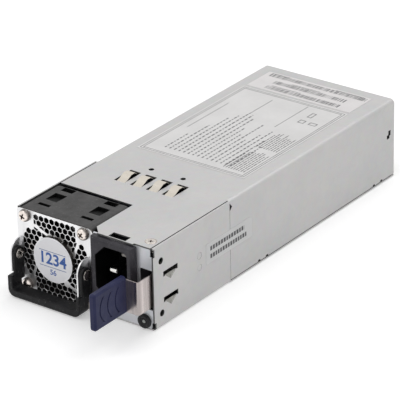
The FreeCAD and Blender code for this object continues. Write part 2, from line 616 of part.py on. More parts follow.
def grilleZone(x0, z0, level, wall):
    """The part of the plate that the honeycomb may pierce: four areas between disc and corners."""
    wide, tall, corner = value("meshHalfWidth"), value("meshHalfHeight"), value("cornerZone")
    upright = Part.makeBox(2 * corner, wall, 2 * tall, Vector(x0 - corner, level, z0 - tall))
    across = Part.makeBox(2 * wide, wall, 2 * corner, Vector(x0 - wide, level, z0 - corner))
    rim = Part.makeCylinder(value("meshRadius"), wall, Vector(x0, level, z0), Vector(0, 1, 0))
    solids = [Part.makeCylinder(value("discRadius"), wall, Vector(x0, level, z0), Vector(0, 1, 0))]
    foot = (-value("spokeStart"), value("discRadius - spokeWidth"))
    tip = (-value("spokeReach"), value("spokeRise"))
    for quarter in range(4):
        spin = math.radians(90 * quarter)
        cosine, sine = math.cos(spin), math.sin(spin)
        ends = [(x0 + x * cosine - z * sine, z0 + x * sine + z * cosine) for x, z in (foot, tip)]
        solids.append(bar(ends[0], ends[1], value("spokeWidth"), level, wall))
    return upright.fuse(across.common(rim)).cut(Part.makeCompound(solids))


def makeRearPanel():
    """The rear wall: a honeycomb vent above the slot for the board's card edge."""
    wall, level = value("sheetWall"), value("rearY - sheetWall")
    half, gap = value("tuckX - sheetWall - sheetGap"), value("rearSlotGap")
    low, high = value("sheetWall"), value("coverZ")
    panel = Part.makeBox(2 * half, wall, high - low, Vector(-half, level, low))
    slotHalf = value("cardWidth / 2") + gap
    slot = Part.makeBox(2 * slotHalf, wall, value("boardWall") + 2 * gap,
                        Vector(-slotHalf, level, value("boardLift") - gap))
    margin = value("ventMargin")
    bottom = value("boardTop") + gap + margin
    zone = Part.makeBox(2 * (half - margin), wall, high - margin - bottom,
                        Vector(margin - half, level, bottom))
    centre = (0, (bottom + high - margin) / 2)
    vents = hexMesh(zone, value("ventPitch"), value("ventFlats"), centre,
                    (half, (high - bottom) / 2), level, wall)
    keep(solid("RearPanel", panel.cut(Part.makeCompound([slot] + vents))), "rear_panel")


def makeGrilleScrews():
    """Four pan head screws that hold the plate and the fan together."""
    screws = []
    for count in range(4):
        x = f"fanX + fanPitchX * {count % 2} - fanPitchX / 2"
        z = f"fanZ + fanPitchZ * {count // 2} - fanPitchZ / 2"
        head = rod(f"GrilleHead{count}", "grilleHeadRadius", "grilleHeadHeight",
                   (x, "plateY - grilleHeadHeight", z), "y")
        shank = rod(f"GrilleShank{count}", "grilleScrewRadius", "grilleScrewLength", (x, "plateY", z), "y")
        screws.append(joined(f"GrilleScrew{count}", [head, shank]))
    keep(grouped("GrilleScrews", screws), "grille_screws")


# Fan

def makeFanHousing():
    """The moulded duct with its mounting flanges, motor base and bearing tube."""
    x0, z0, front, depth = value("fanX"), value("fanZ"), value("fanY"), value("fanDepth")
    span, bore = value("fanSize"), value("fanBore")
    forward = Vector(0, 1, 0)
    centre = Vector(x0, front, z0)
    tall = value("fanHeight")
    shell = Part.makeBox(span, depth, tall, Vector(x0 - span / 2, front, z0 - tall / 2))
    shell = shell.makeFillet(value("fanCorner"), [edge for edge in shell.Edges if along(edge, "y")])
    shell = shell.makeFillet(value("fanRearCorner"), [edge for edge in shell.Edges if along(edge, "z") and
                                                      near(middle(edge).y, "fanRear")])
    shell = shell.cut(Part.makeCylinder(bore, depth, centre, forward))
    tools = []
    for side in (-1, 1):
        for edge in (-1, 1):
            tools += fanPockets(x0 + side * value("pitCentre"), z0, edge, front)
            hole = Vector(x0 + side * value("fanPitchX / 2"), front, z0 + edge * value("fanPitchZ / 2"))
            tools.append(Part.makeCylinder(value("fanHole"), depth, hole, forward))
    shell = shell.cut(Part.makeCompound(tools))
    back = front + depth
    base = Part.makeCylinder(value("hubRadius"), value("motorBase"),
                             Vector(x0, back - value("motorBase"), z0), forward)
    arms = []
    for count in range(int(value("strutCount"))):
        arm = Part.makeBox(bore, value("motorBase"), value("strutWidth"),
                           Vector(x0 + value("bearingRadius"), back - value("motorBase"),
                                  z0 - value("strutWidth") / 2))
        arm.rotate(centre, forward, 45 + count * 360 / value("strutCount"))
        arms.append(arm)
    inside = Part.makeCylinder(bore + value("ductWall") / 2, depth, centre, forward)
    arms = [arm.common(inside) for arm in arms]
    tubeLength = value("hubLength - bearingLength")
    tubeStart = Vector(x0, back - value("motorBase") - tubeLength, z0)
    tube = Part.makeCylinder(value("bearingRadius + tubeWall"), tubeLength, tubeStart, forward)
    body = shell.fuse([base, tube] + arms)
    body = body.cut(Part.makeCylinder(value("bearingRadius"), tubeLength, tubeStart, forward))
    keep(solid("FanHousing", body.removeSplitter()), "fan_housing")


def fanPockets(x, z0, edge, front):
    """One pit and two slots in the top or bottom of the fan's frame, beside the duct."""
    half = value("fanHeight / 2")
    width = value("pitWidth")
    surface = z0 + edge * half
    start = front + value("pitStart")
    rear = start + value("pitLength")
    floor = surface - edge * value("pitDepth")
    ramp = [Vector(x - width / 2, start, surface), Vector(x - width / 2, rear, surface),
            Vector(x - width / 2, rear, floor), Vector(x - width / 2, start, surface)]
    pockets = [Part.Face(Part.makePolygon(ramp)).extrude(Vector(width, 0, 0))]
    sink = value("slotSink")
    for begin, length in (("slotStartFront", "slotFront"), ("slotStartRear", "slotRear")):
        low = surface - sink if edge > 0 else surface
        pockets.append(Part.makeBox(width, value(length), sink,
                                    Vector(x - width / 2, front + value(begin), low)))
    return pockets


def makeFanRotor():
    """The hub cup with cambered blades that lean back along the duct."""
    x0, z0 = value("fanX"), value("fanZ")
    front = value("fanY + hubFront")
    forward = Vector(0, 1, 0)
    hub, wall, length = value("hubRadius"), value("hubWall"), value("hubLength")
    cup = Part.makeCylinder(hub, length, Vector(x0, front, z0), forward)
    cup = cup.makeChamfer(wall / 2, [edge for edge in cup.Edges
                                     if abs(middle(edge).y - front) < 0.01 and len(edge.Vertexes) == 1])
    hollow = Part.makeCylinder(hub - wall, length - wall * 1.5,
                               Vector(x0, front + wall * 1.5, z0), forward)
    tip = value("fanBore - tipGap")
    sweep, run, half = value("bladeSweep"), value("bladeLength"), value("bladeWall / 2")
    start = front + (length - run) / 2
    steps = 4
    camber = [(start + run * step / steps, sweep * ((step / steps) ** 1.5 - 0.5))
              for step in range(steps + 1)]
    edges = [(y, z + half) for y, z in camber] + [(y, z - half) for y, z in reversed(camber)]
    corners = [Vector(x0 + hub / 2, y, z0 + z) for y, z in edges]
    blade = Part.Face(Part.makePolygon(corners + corners[:1])).extrude(Vector(tip, 0, 0))
    blade = blade.common(Part.makeCylinder(tip, length, Vector(x0, front, z0), forward))
    blades = []
    for count in range(int(value("bladeCount"))):
        copy = blade.copy()
        copy.rotate(Vector(x0, 0, z0), forward, count * 360 / value("bladeCount"))
        blades.append(copy)
    rotor = cup.fuse(blades).cut(hollow)
    seatHole = Part.makeCylinder(value("shaftRadius"), length, Vector(x0, front + wall, z0), forward)
    keep(solid("FanRotor", rotor.cut(seatHole)), "fan_rotor")


def makeFanMotor():
    """Shaft, magnet ring, stator and the two bearings inside the hub."""
    hubY = "fanY + hubFront"
    shaft = rod("FanShaft", "shaftRadius", "fanDepth - hubFront - hubWall - motorBase - poleGap",
                ("fanX", f"{hubY} + hubWall", "fanZ"), "y")
    keep(shaft, "fan_shaft")
    outer = rod("MagnetOuter", "hubRadius - hubWall", "statorLength + motorBase",
                ("fanX", f"{hubY} + hubWall * 3", "fanZ"), "y")
    bore = rod("MagnetBore", "hubRadius - hubWall - magnetWall", "hubLength",
               ("fanX", hubY, "fanZ"), "y")
    keep(cut("MagnetRing", outer, [bore]), "fan_magnet_ring")
    tubeFront = "fanRear - motorBase - hubLength + bearingLength"
    core = rod("StatorCore", "hubRadius - hubWall - magnetWall - poleGap", "statorLength",
               ("fanX", f"{tubeFront} + bearingLength", "fanZ"), "y")
    tools = [rod("StatorBore", "bearingRadius + tubeWall", "hubLength", ("fanX", hubY, "fanZ"), "y")]
    for count in range(int(value("poleCount"))):
        slot = block(f"StatorSlot{count}", ("hubRadius", "statorLength + 2 * poleGap", "poleGap * 3"),
                     ("fanX", f"{tubeFront} + bearingLength - poleGap", "fanZ"))
        slot.Placement.Rotation = Turn(Vector(0, 1, 0), 45 + count * 90)
        tools.append(slot)
    keep(cut("Stator", core, tools), "fan_stator")
    bearings = []
    for count, start in enumerate((tubeFront, "fanRear - motorBase - bearingLength")):
        race = rod(f"BearingRace{count}", "bearingRadius", "bearingLength", ("fanX", start, "fanZ"), "y")
        hole = rod(f"BearingHole{count}", "shaftRadius + shaftGap", "bearingLength",
                   ("fanX", start, "fanZ"), "y")
        bearings.append(cut(f"Bearing{count}", race, [hole]))
    keep(grouped("FanBearings", bearings), "fan_bearings")


# Handle

def makeBail():
    """The swinging bail: two arms with pivot eyes, joined by a deep bar along the bottom."""
    body = newBody("Bail")
    side = sketchOn(body, "BailSide", "YZ_Plane", "bailLeft")
    armFront = "pivotY - eyeRadius"
    clear = "plateY - grilleHeadHeight - bailClear"
    relief = "screwReliefZ + bailClear"
    outline(side, [(clear, "bailLift"), (clear, relief), ("eyeRear", relief), ("eyeRear", "pivotZ"),
                   (armFront, "pivotZ"), (armFront, "bailStep"), ("bailY", "bailStep"),
                   ("bailY", "bailLift")])
    pad(body, side, "bailWidth")
    eyes = sketchOn(body, "BailEyes", "YZ_Plane", "bailLeft")
    ring(eyes, "pivotY", "pivotZ", "eyeRadius")
    pad(body, eyes, "bailWidth")
    gap = sketchOn(body, "BailGap", "XZ_Plane", "bailY")
    frame(gap, "bailLeft + bailWall", "bailRight - rightWall", "bailLift + bailFloor",
          "pivotZ + eyeRadius")
    pocket(body, gap, "bailReach")
    step = sketchOn(body, "ArmStep", "YZ_Plane", "bailLeft")
    frame(step, "bailY", "plateY", "bailStep", "pivotZ + eyeRadius")
    pocket(body, step, "bailWall - armWall")
    soften(body, "BailCorners", "Fillet", "bailCorner", lambda edge: along(edge, "y") and
           near(middle(edge).z, "bailLift"))
    soften(body, "BailInnerCorners", "Fillet", "bailInnerCorner", lambda edge: along(edge, "y") and
           near(middle(edge).z, "bailLift + bailFloor"))
    bore = sketchOn(body, "BailBore", "YZ_Plane", "bailLeft")
    ring(bore, "pivotY", "pivotZ", "pivotRadius + pivotGap")
    pocket(body, bore, "bailWidth")
    keep(body, "handle_bail")


def earPlaces():
    """Each ear's start along X, its arm's wall and its foot: outside the left arm, inside the right."""
    return {"Left": ("bailLeft + bailWall - armWall - earGap - earWall", "armWall", "pivotZ - earDrop"),
            "Right": ("bailRight - rightWall - earGap - earWall", "rightWall", "screwReliefZ + earClear")}


def makeEars():
    """Two round topped flanges that stand out of the grille plate and carry the bail."""
    ears = []
    for side, (start, arm, foot) in earPlaces().items():
        body = newBody(f"{side}Ear")
        face = sketchOn(body, f"{side}EarFace", "YZ_Plane", start)
        frame(face, "plateY - earReach", "plateY", foot, "earTop")
        pad(body, face, "earWall")
        soften(body, f"{side}EarRound", "Fillet", "earRadius", lambda edge: along(edge, "x") and
               near(middle(edge).y, "plateY - earReach") and near(middle(edge).z, "earTop"))
        bore = sketchOn(body, f"{side}EarBore", "YZ_Plane", start)
        ring(bore, "pivotY", "pivotZ", "pivotRadius")
        pocket(body, bore, "earWall")
        ears.append(body)
    keep(grouped("HandleEars", ears), "handle_ears")


def makePivots():
    """The two rivets that the bail turns on, each fixed in its ear."""
    rivets = []
    for side, (start, arm, foot) in earPlaces().items():
        reach = f"earWall + earGap * 2 + {arm}"
        shank = rod(f"{side}Pivot", "pivotRadius", reach, (start, "pivotY", "pivotZ"), "x")
        head = rod(f"{side}PivotHead", "rivetHead", "rivetHeadHeight",
                   (f"{start} + {reach}", "pivotY", "pivotZ"), "x")
        rivets.append(joined(f"{side}PivotRivet", [shank, head]))
    keep(grouped("HandlePivots", rivets), "handle_pivots")


# Mains inlet

def makeInlet():
    """The moulded inlet: a bevelled rim, and a shell whose cavity has two cut corners on one side."""
    body = newBody("Inlet")
    rim = sketchOn(body, "InletRim", "XZ_Plane", "frontY - rimReach")
    frame(rim, "inletX - rimWidth / 2", "inletX + rimWidth / 2", "inletZ - rimHeight / 2",
          "inletZ + rimHeight / 2")
    pad(body, rim, "rimReach")
    soften(body, "RimBevel", "Chamfer", "rimBevel", lambda edge: near(middle(edge).y, "frontY - rimReach"))
    shell = sketchOn(body, "InletShell", "XZ_Plane", "frontY")
    frame(shell, "inletX - shellWidth / 2", "inletX + shellWidth / 2", "inletZ - shellHeight / 2",
          "inletZ + shellHeight / 2")
    pad(body, shell, "shellDepth")
    hollow = sketchOn(body, "InletCavity", "XZ_Plane", "frontY - rimReach")
    left, right = "inletX - cavityWidth / 2", "inletX + cavityWidth / 2"
    low, high = "inletZ - cavityHeight / 2", "inletZ + cavityHeight / 2"
    outline(hollow, [(f"{left} + cavityCut", low), (right, low), (right, high),
                     (f"{left} + cavityCut", high), (left, f"{high} - cavityCut"),
                     (left, f"{low} + cavityCut")])
    pocket(body, hollow, "cavityDepth")
    soften(body, "CavityRound", "Fillet", "cavityRound", lambda edge: along(edge, "y") and
           near(middle(edge).x, right) and
           abs(abs(middle(edge).z - value("inletZ")) - value("cavityHeight / 2")) < 0.01)
    holes = [pinBlock(f"{name}PinHole", x, z, "cavityDepth - rimReach", "shellDepth")
             for name, x, z, inset in pinPlaces()]
    keep(cut("InletHousing", body, holes), "inlet_housing")


def pinPlaces():
    """Name, X, Z and tip setback of the three pins: the earth pin stands off the line of the others."""
    live = "inletX + pinOffset"
    return [("Line", live, "inletZ + pinSpread", "linePinInset"),
            ("Neutral", live, "inletZ - pinSpread", "linePinInset"),
            ("Earth", "inletX - pinOffset", "inletZ", "earthPinInset")]


def pinBlock(name, x, z, start, end):
    """A flat pin between two depths behind the front plane."""
    return block(name, ("pinWidth", f"{end} - ({start})", "pinThick"),
                 (f"{x} - pinWidth / 2", f"frontY + {start}", f"{z} - pinThick / 2"))


def makePins():
    pins = []
    for name, x, z, inset in pinPlaces():
        body = newBody(f"{name}Pin")
        face = sketchOn(body, f"{name}PinFace", "XZ_Plane", f"frontY - rimReach + {inset}")
        frame(face, f"{x} - pinWidth / 2", f"{x} + pinWidth / 2", f"{z} - pinThick / 2",
              f"{z} + pinThick / 2")
        pad(body, face, f"rimReach - {inset} + shellDepth + tabLength")
        soften(body, f"{name}PinTip", "Chamfer", "pinThick / 4", lambda edge:
               near(middle(edge).y, f"frontY - rimReach + {inset}"))
        pins.append(body)
    keep(grouped("InletPins", pins), "inlet_pins")


# Latch

def makeLatchSpring():
    """The free arm of the spring: along the wall, out through the panel, then folded to the paddle."""
    body = newBody("LatchSpring")
    plan = sketchOn(body, "SpringPlan", "XY_Plane", "springLow")
    tongue = "paddleRight - paddleWall / 2"
    left, right = f"{tongue} - springWall / 2", f"{tongue} + springWall / 2"
    inner = "armX - springWall"
    outline(plan, [("armX", "rootY"), ("armX", "paddleY"), (right, "paddleY"),
                   (right, "paddleY - tongueLength"), (left, "paddleY - tongueLength"),
                   (left, "foldY"), (inner, "foldY"), (inner, "rootY")])
    pad(body, plan, "springHeight")
    soften(body, "SpringFold", "Fillet", "springWall * 1.6", lambda edge: along(edge, "z") and
           near(middle(edge).x, "armX") and near(middle(edge).y, "paddleY"))
    soften(body, "SpringInnerFold", "Fillet", "springWall * 0.6", lambda edge: along(edge, "z") and
           near(middle(edge).x, inner) and near(middle(edge).y, "foldY"))
    narrow = sketchOn(body, "SpringNarrow", "YZ_Plane", "armX")
    setback = "frontY + springArmSetback"
    frame(narrow, setback, "rootY", "springLow", "springMiddle - springArmHeight / 2")
    frame(narrow, setback, "rootY", "springMiddle + springArmHeight / 2", "springLow + springHeight")
    pocket(body, narrow, "springWall", towardPlus=False)
    keep(body, "latch_spring")


def latchRivets(name, start, end):
    """The two rivets' cylinders between two places along X."""
    return [rod(f"{name}{count}", "latchRivetRadius", f"{end} - ({start})",
                (start, "frontY + latchRivetDepth", height), "x")
            for count, height in enumerate(("latchRivetLow", "latchRivetHigh"))]


def makeLatchRoot():
    """The spring's root, riveted to the inside of the wall."""
    root = block("SpringRoot", ("springWall", "rootLength", "springHeight"),
                 ("springX", "rootY + rootGap", "springLow"))
    keep(cut("LatchRoot", root, latchRivets("RootHole", "springX", "wallX")), "latch_spring_root")
    rivets = latchRivets("LatchRivet", "springX - rivetCrown", "sideX")
    keep(grouped("LatchRivets", rivets), "latch_rivets")


def makePaddle():
    """The moulded finger paddle on the spring's tongue, with three bowed grip grooves."""
    body = newBody("Paddle")
    plan = sketchOn(body, "PaddlePlan", "XY_Plane", "paddleLow")
    left, front = "paddleRight - paddleWall", "paddleY - paddleLength"
    frame(plan, left, "paddleRight", front, "paddleY")
    pad(body, plan, "paddleHeight")
    top, low = "paddleLow + paddleHeight", "paddleLow"
    soften(body, "PaddleNose", "Fillet", "paddleNose", lambda edge: along(edge, "x") and
           near(middle(edge).y, front))
    soften(body, "PaddleBevel", "Chamfer", "paddleBevel", lambda edge: along(edge, "y") and
           near(middle(edge).z, top))
    soften(body, "PaddleEase", "Fillet", "paddleBevel / 2", lambda edge: along(edge, "z") and
           near(middle(edge).y, front))
    tongue = "paddleRight - paddleWall / 2 - springWall / 2"
    tools = [block("TongueSlot", ("springWall", "tongueLength", "springHeight"),
                   (tongue, "paddleY - tongueLength", "springLow"))]
    middleZ = f"{low} + paddleHeight / 2"
    for count in range(int(value("grooveCount"))):
        nose = f"paddleY - grooveStart - groovePitch * {count}"
        centre = ("paddleRight - grooveSink", f"{nose} + grooveRadius", middleZ)
        outer = rod(f"GrooveOuter{count}", "grooveRadius", "grooveSink * 2", centre, "x")
        inner = rod(f"GrooveInner{count}", "grooveRadius - grooveWidth", "grooveSink * 2", centre, "x")
        ringTool = cut(f"GrooveRing{count}", outer, [inner])
        window = block(f"GrooveWindow{count}", ("grooveSink * 2", "grooveRadius / 2", "grooveHeight"),
                       ("paddleRight - grooveSink", nose, f"{middleZ} - grooveHeight / 2"))
        tool = doc.addObject("Part::Common", f"Groove{count}")
        tool.Base, tool.Tool = ringTool, window
        tools.append(tool)
    keep(cut("LatchPaddle", body, tools), "latch_paddle")


# Status lamp

def makeLamp():
    """A round bezel in the panel with the lamp's small dome in its middle."""
    face = rod("BezelFace", "bezelRadius", "bezelReach", ("lampX", "frontY - bezelReach", "lampZ"), "y")
    barrel = rod("BezelBarrel", "barrelRadius", "barrelLength", ("lampX", "frontY", "lampZ"), "y")
    bore = rod("BezelBore", "lampRadius", "bezelReach + barrelLength",
               ("lampX", "frontY - bezelReach", "lampZ"), "y")
    dish = cone("BezelDish", ("bezelRadius - bezelRound", "lampRadius"), "bezelRound",
                ("lampX", "frontY - bezelReach", "lampZ"), "y")
    keep(cut("Bezel", joined("BezelWhole", [face, barrel]), [bore, dish]), "lamp_bezel")
    stem = rod("LampStem", "lampRadius", "lampLength", ("lampX", "frontY - bezelReach + lampReach", "lampZ"),
               "y")
    keep(stem, "status_lamp")


# Labels

def makeLabels():
    def plaque(name, label, size, corner):
        keep(block(name, size, corner), label)

    plaque("Rating", "rating_label", ("ratingWidth", "ratingLength", "labelWall"),
           ("labelX - ratingWidth / 2", "frontY + ratingFront", "caseHeight"))
    plaque("Barcode", "barcode_label", ("barcodeWidth", "barcodeLength", "labelWall"),
           ("labelX - barcodeWidth / 2", "frontY + barcodeFront", "caseHeight"))
    plaque("SideLabel", "side_label", ("labelWall", "sideLabelLength", "sideLabelHeight"),
           ("sideX", "frontY + sideLabelFront", "sideLabelLow"))
    keep(rod("Sticker", "stickerRadius", "labelWall", ("fanX", "plateY - discRise - labelWall", "fanZ"),
             "y"), "grille_disc_label")


# Board and what stands on it

# sides of the round parts that only show through the vents
innerSides = 16

def spacerPlaces():
    return [(f"spacerX * {side}", f"frontY + spacerFront + spacerPitch * {step}")
            for side in (-1, 1) for step in range(2)]


def makeMainBoard():
    """The main board, whose rear tongue is the card edge with its key slot."""
    body = newBody("MainBoard")
    plan = sketchOn(body, "BoardPlan", "XY_Plane", "boardLift")
    inside, tongue = "rearY - sheetWall - sheetGap", "cardWidth / 2"
    outline(plan, [("-boardX", "boardY"), ("boardX", "boardY"), ("boardX", inside), (tongue, inside),
                   (tongue, "rearY + cardReach"), (f"-{tongue}", "rearY + cardReach"),
                   (f"-{tongue}", inside), ("-boardX", inside)])
    pad(body, plan, "boardWall")
    soften(body, "CardBevel", "Chamfer", "cardBevel", lambda edge: along(edge, "x") and
           near(middle(edge).y, "rearY + cardReach"))
    holes = sketchOn(body, "BoardHoles", "XY_Plane", "boardTop")
    for x, y in spacerPlaces():
        ring(holes, x, y, "boardScrewRadius + screwGap")
    key = contactX(int(value("keyNumber")))
    frame(holes, f"{key} - keyWidth / 2", f"{key} + keyWidth / 2", "rearY + cardReach - keyDepth",
          "rearY + cardReach")
    pocket(body, holes, "boardWall", towardPlus=False)
    keep(body, "main_board")


def contactX(number):
    return f"contactPitch * ({number} - (contactCount - 1) / 2)"


def makeContacts():
    """The gold pads on both faces of the card edge, left out at the key slot."""
    pads = []
    start = "rearY + cardReach - cardBevel * 2 - contactLength"
    for number in range(int(value("contactCount"))):
        if number == int(value("keyNumber")):
            continue
        for level in ("boardTop", "boardLift - contactWall"):
            pads.append(block(f"Pad{len(pads)}", ("contactWidth", "contactLength", "contactWall"),
                              (f"{contactX(number)} - contactWidth / 2", start, level)))
    keep(grouped("EdgeContacts", pads), "edge_contacts")


def makeBoardFixings():
    """The film on the case's floor, the spacers that pass through it, and the board's screws."""
    inner = "tuckX - sheetWall - sheetGap"
    film = block("FilmSheet", (f"({inner}) * 2", "caseDepth - boardFront - sheetWall - sheetGap",
                               "filmWall"), (f"-({inner})", "boardY", "sheetWall"))
    side = "(spacerRadius + screwGap)"
    holes, spacers, screws = [], [], []
    for count, (x, y) in enumerate(spacerPlaces()):
        holes.append(block(f"FilmHole{count}", (f"{side} * 2", f"{side} * 2", "filmWall"),
                           (f"{x} - {side}", f"{y} - {side}", "sheetWall")))
        post = prism(f"SpacerPost{count}", 6, "spacerRadius", "boardLift - sheetWall", (x, y, "sheetWall"))
        bore = rod(f"SpacerBore{count}", "boardScrewRadius", "boardLift - sheetWall", (x, y, "sheetWall"))
        spacers.append(cut(f"Spacer{count}", post, [bore]))
        head = prism(f"BoardHead{count}", 6, "boardHeadRadius", "boardHeadHeight", (x, y, "boardTop"))
        shank = rod(f"BoardShank{count}", "boardScrewRadius", "boardScrewLength",
                    (x, y, "boardTop - boardScrewLength"))
        screws.append(joined(f"BoardScrew{count}", [head, shank]))
    keep(cut("Film", film, holes), "insulating_film")
    keep(grouped("Spacers", spacers), "board_spacers")
    keep(grouped("BoardScrews", screws), "board_screws")


def onBoard(name, size, x, front, lift=0):
    """A block on the board, centred at x, that starts at a distance behind the front plane."""
    return block(name, size, (f"{x} - ({size[0]}) / 2", f"frontY + {front}", f"boardTop + {lift}"))


def makeInputParts():
    """Fuse, common mode choke, filter capacitors, relay and disc capacitors."""
    fuse = prism("FuseTube", innerSides, "fuseRadius", "fuseLength",
                 ("fuseX - fuseLength / 2", "frontY + fuseFront", "boardTop + fuseRadius"), "x")
    keep(fuse, "input_fuse")
    centre = ("coilX", "frontY + coilFront")
    low = "boardTop + coilWire - coilCore"
    ferrite = prism("ChokeOuter", innerSides, "coilRing + coilCore", "coilCore * 2", centre + (low,))
    eye = prism("ChokeEye", innerSides, "coilRing - coilCore", "coilCore * 2", centre + (low,))
    core = keep(cut("ChokeCore", ferrite, [eye]), "choke_core")
    windings = []
    for side, start in (("Right", "coilX + coilGap / 2"), ("Left", "coilX - coilGap / 2 - coilRing * 2")):
        coil = prism(f"{side}Coil", innerSides, "coilRing + coilWire", "coilWire * 2",
                     centre + ("boardTop",))
        hole = prism(f"{side}CoilHole", innerSides, "coilRing - coilWire", "coilWire * 2",
                     centre + ("boardTop",))
        half = doc.addObject("Part::Common", f"{side}Half")
        half.Base = cut(f"{side}CoilRing", coil, [hole, core])
        half.Tool = block(f"{side}Space", ("coilRing * 2", "coilRing * 4", "coilWire * 2"),
                          (start, "frontY + coilFront - coilRing * 2", "boardTop"))
        windings.append(half)
    keep(grouped("ChokeWindings", windings), "choke_windings")
    filters = [onBoard(f"FilterCap{count}", ("capWidth", "capLength", "capHeight"), "coilX",
                       f"capFront + capPitch * {count}") for count in range(2)]
    keep(grouped("FilterCaps", filters), "filter_capacitors")
    keep(onBoard("Relay", ("relayWidth", "relayLength", "relayHeight"), "relayX", "relayFront"),
         "inrush_relay")
    discs = [prism(f"DiscCap{count}", innerSides, "discCapRadius", "discCapWall",
                 ("discCapX - discCapWall / 2", f"frontY + discCapFront + discCapPitch * {count}",
                  "boardTop + discCapRadius"), "x") for count in range(2)]
    keep(grouped("DiscCaps", discs), "disc_capacitors")


def makeBulkCapacitor():
    """The big storage capacitor, lying on the board."""
    keep(rod("BulkCan", "bulkRadius", "bulkLength",
             ("bulkX", "frontY + bulkFront", "boardTop + bulkRadius"), "y"), "bulk_capacitor")


def makeHeatSink():
    """The upright heat sink with fins on one side, and the parts clamped to its other side."""
    plate = onBoard("SinkPlate", ("sinkWall", "sinkLength", "sinkHeight"), "sinkX", "sinkFront")
    fins = [block(f"SinkFin{count}", ("finReach", "finWall", "sinkHeight"),
                  ("sinkX - sinkWall / 2 - finReach", f"frontY + sinkFront + finPitch * {count}",
                   "boardTop")) for count in range(int(value("finCount")))]
    keep(joined("HeatSink", [plate] + fins), "primary_heat_sink")
    face = "sinkX + sinkWall / 2"
    packs = [block(f"Pack{count}", ("packWidth", "packLength", "packHeight"),
                   (face, f"frontY + transFront - packPitch + packPitch * {count + 1}",
                    "boardTop + packLift")) for count in range(int(value("packCount")))]
    legs = [block(f"PackLegs{count}", ("packWidth / 3", "packLength * 0.7", "packLift"),
                  (f"{face} + packWidth / 3",
                   f"frontY + transFront + packPitch * {count} + packLength * 0.15", "boardTop"))
            for count in range(int(value("packCount")))]
    whole = [joined(f"Transistor{count}", [pack, leg])
             for count, (pack, leg) in enumerate(zip(packs, legs))]
    keep(grouped("Transistors", whole), "switching_transistors")


def makeWound(name, label, x, front, width, length, height):
    """A ferrite core with a winding round its middle leg."""
    outer = onBoard(f"{name}Outer", (width, length, height), x, front)
    window = onBoard(f"{name}Window", (width, f"{length} - coreWall * 2", f"{height} - coreWall * 2"),
                     x, f"{front} + coreWall", "coreWall")
    leg = onBoard(f"{name}Leg", (width, "coreWall * 1.6", height), x,
                  f"{front} + {length} / 2 - coreWall * 0.8")
    keep(joined(f"{name}Core", [cut(f"{name}Frame", outer, [window]), leg]), f"{label}_core")
    coil = onBoard(f"{name}Coil", (f"{width} - coreGap * 2", f"{length} - coreWall * 2 - coreGap * 2",
                                   f"{height} - coreWall * 2"), x, f"{front} + coreWall + coreGap",
                   "coreWall")
    keep(cut(f"{name}Winding", coil, [leg]), f"{label}_winding")


def makePowerParts():
    makeWound("Choke", "power_choke", "chokeX", "chokeFront", "chokeWidth", "chokeLength", "chokeHeight")
    makeWound("Trans", "transformer", "transX", "transFront", "transWidth", "transLength", "transHeight")
    sinks = []
    for side in (-1, 1):
        whole = onBoard(f"OutSink{side + 1}", ("outSinkWidth", "outSinkLength", "outSinkHeight"),
                        f"outSinkX * {side}", "outSinkFront")
        gaps = []
        count = int(value("outFinCount"))
        for number in range(count - 1):
            pitch = f"(outSinkWidth - finWall) / {count - 1}"
            gaps.append(block(f"OutGap{side + 1}{number}",
                              (f"{pitch} - finWall", "outSinkLength", "outSinkHeight - outSinkBase"),
                              (f"outSinkX * {side} - outSinkWidth / 2 + finWall + {pitch} * {number}",
                               "frontY + outSinkFront", "boardTop + outSinkBase")))
        sinks.append(cut(f"OutFins{side + 1}", whole, gaps))
    keep(grouped("OutSinks", sinks), "output_heat_sinks")
    count = int(value("filterCount"))
    cans = [prism(f"FilterCan{number}", innerSides, "filterRadius", "filterHeight",
                  (f"filterPitch * ({number} - {count - 1} / 2)", "frontY + filterFront", "boardTop"))
            for number in range(count)]
    keep(grouped("FilterCans", cans), "output_capacitors")


def makeControlBoard():
    """The upright control board at the left wall, with its chips."""
    left = "-boardX + sheetGap"
    keep(block("CardBoard", ("cardBoardWall", "cardBoardLength", "cardBoardHeight"),
               (left, "frontY + cardBoardFront", "boardTop")), "control_board")
    chips = [block(f"Chip{number}", ("chipWall", "chipWidth", "chipWidth"),
                   (f"{left} + cardBoardWall",
                    f"frontY + cardBoardFront + chipPitch * {number} + chipWidth / 2",
                    "boardTop + cardBoardHeight / 2")) for number in range(int(value("chipCount")))]
    keep(grouped("Chips", chips), "control_chips")


for make in (makeBase, makeCover, makeCoverScrew, makeEarthStrip, makeFrontPanel, makeRearPanel,
             makeGrillePlate, makeGrilleScrews, makeFanHousing, makeFanRotor, makeFanMotor, makeBail,
             makeEars, makePivots, makeInlet, makePins, makeLatchSpring, makeLatchRoot, makePaddle,
             makeLamp, makeLabels, makeMainBoard, makeContacts, makeBoardFixings, makeInputParts,
             makeBulkCapacitor, makeHeatSink, makePowerParts, makeControlBoard):
    make()
doc.recompute()

for item in doc.Objects:
    if "Invalid" in item.State or "Error" in item.State:
        raise ValueError(f"{item.Name} failed: {item.State}")
for label, item in parts.items():
    if item.Shape.isNull() or not item.Shape.isValid() or not item.Shape.Solids:
        raise ValueError(f"{label} has no valid solid")

os.makedirs("parts", exist_ok=True)
for label, item in parts.items():
    item.Shape.exportStep(f"parts/{label}.step")
    print(f"{label}: {len(item.Shape.Solids)} solids, {item.Shape.Volume:.1f} mm3")
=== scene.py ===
import json
import math
import random

import bmesh
import bpy
from mathutils import Matrix, Vector


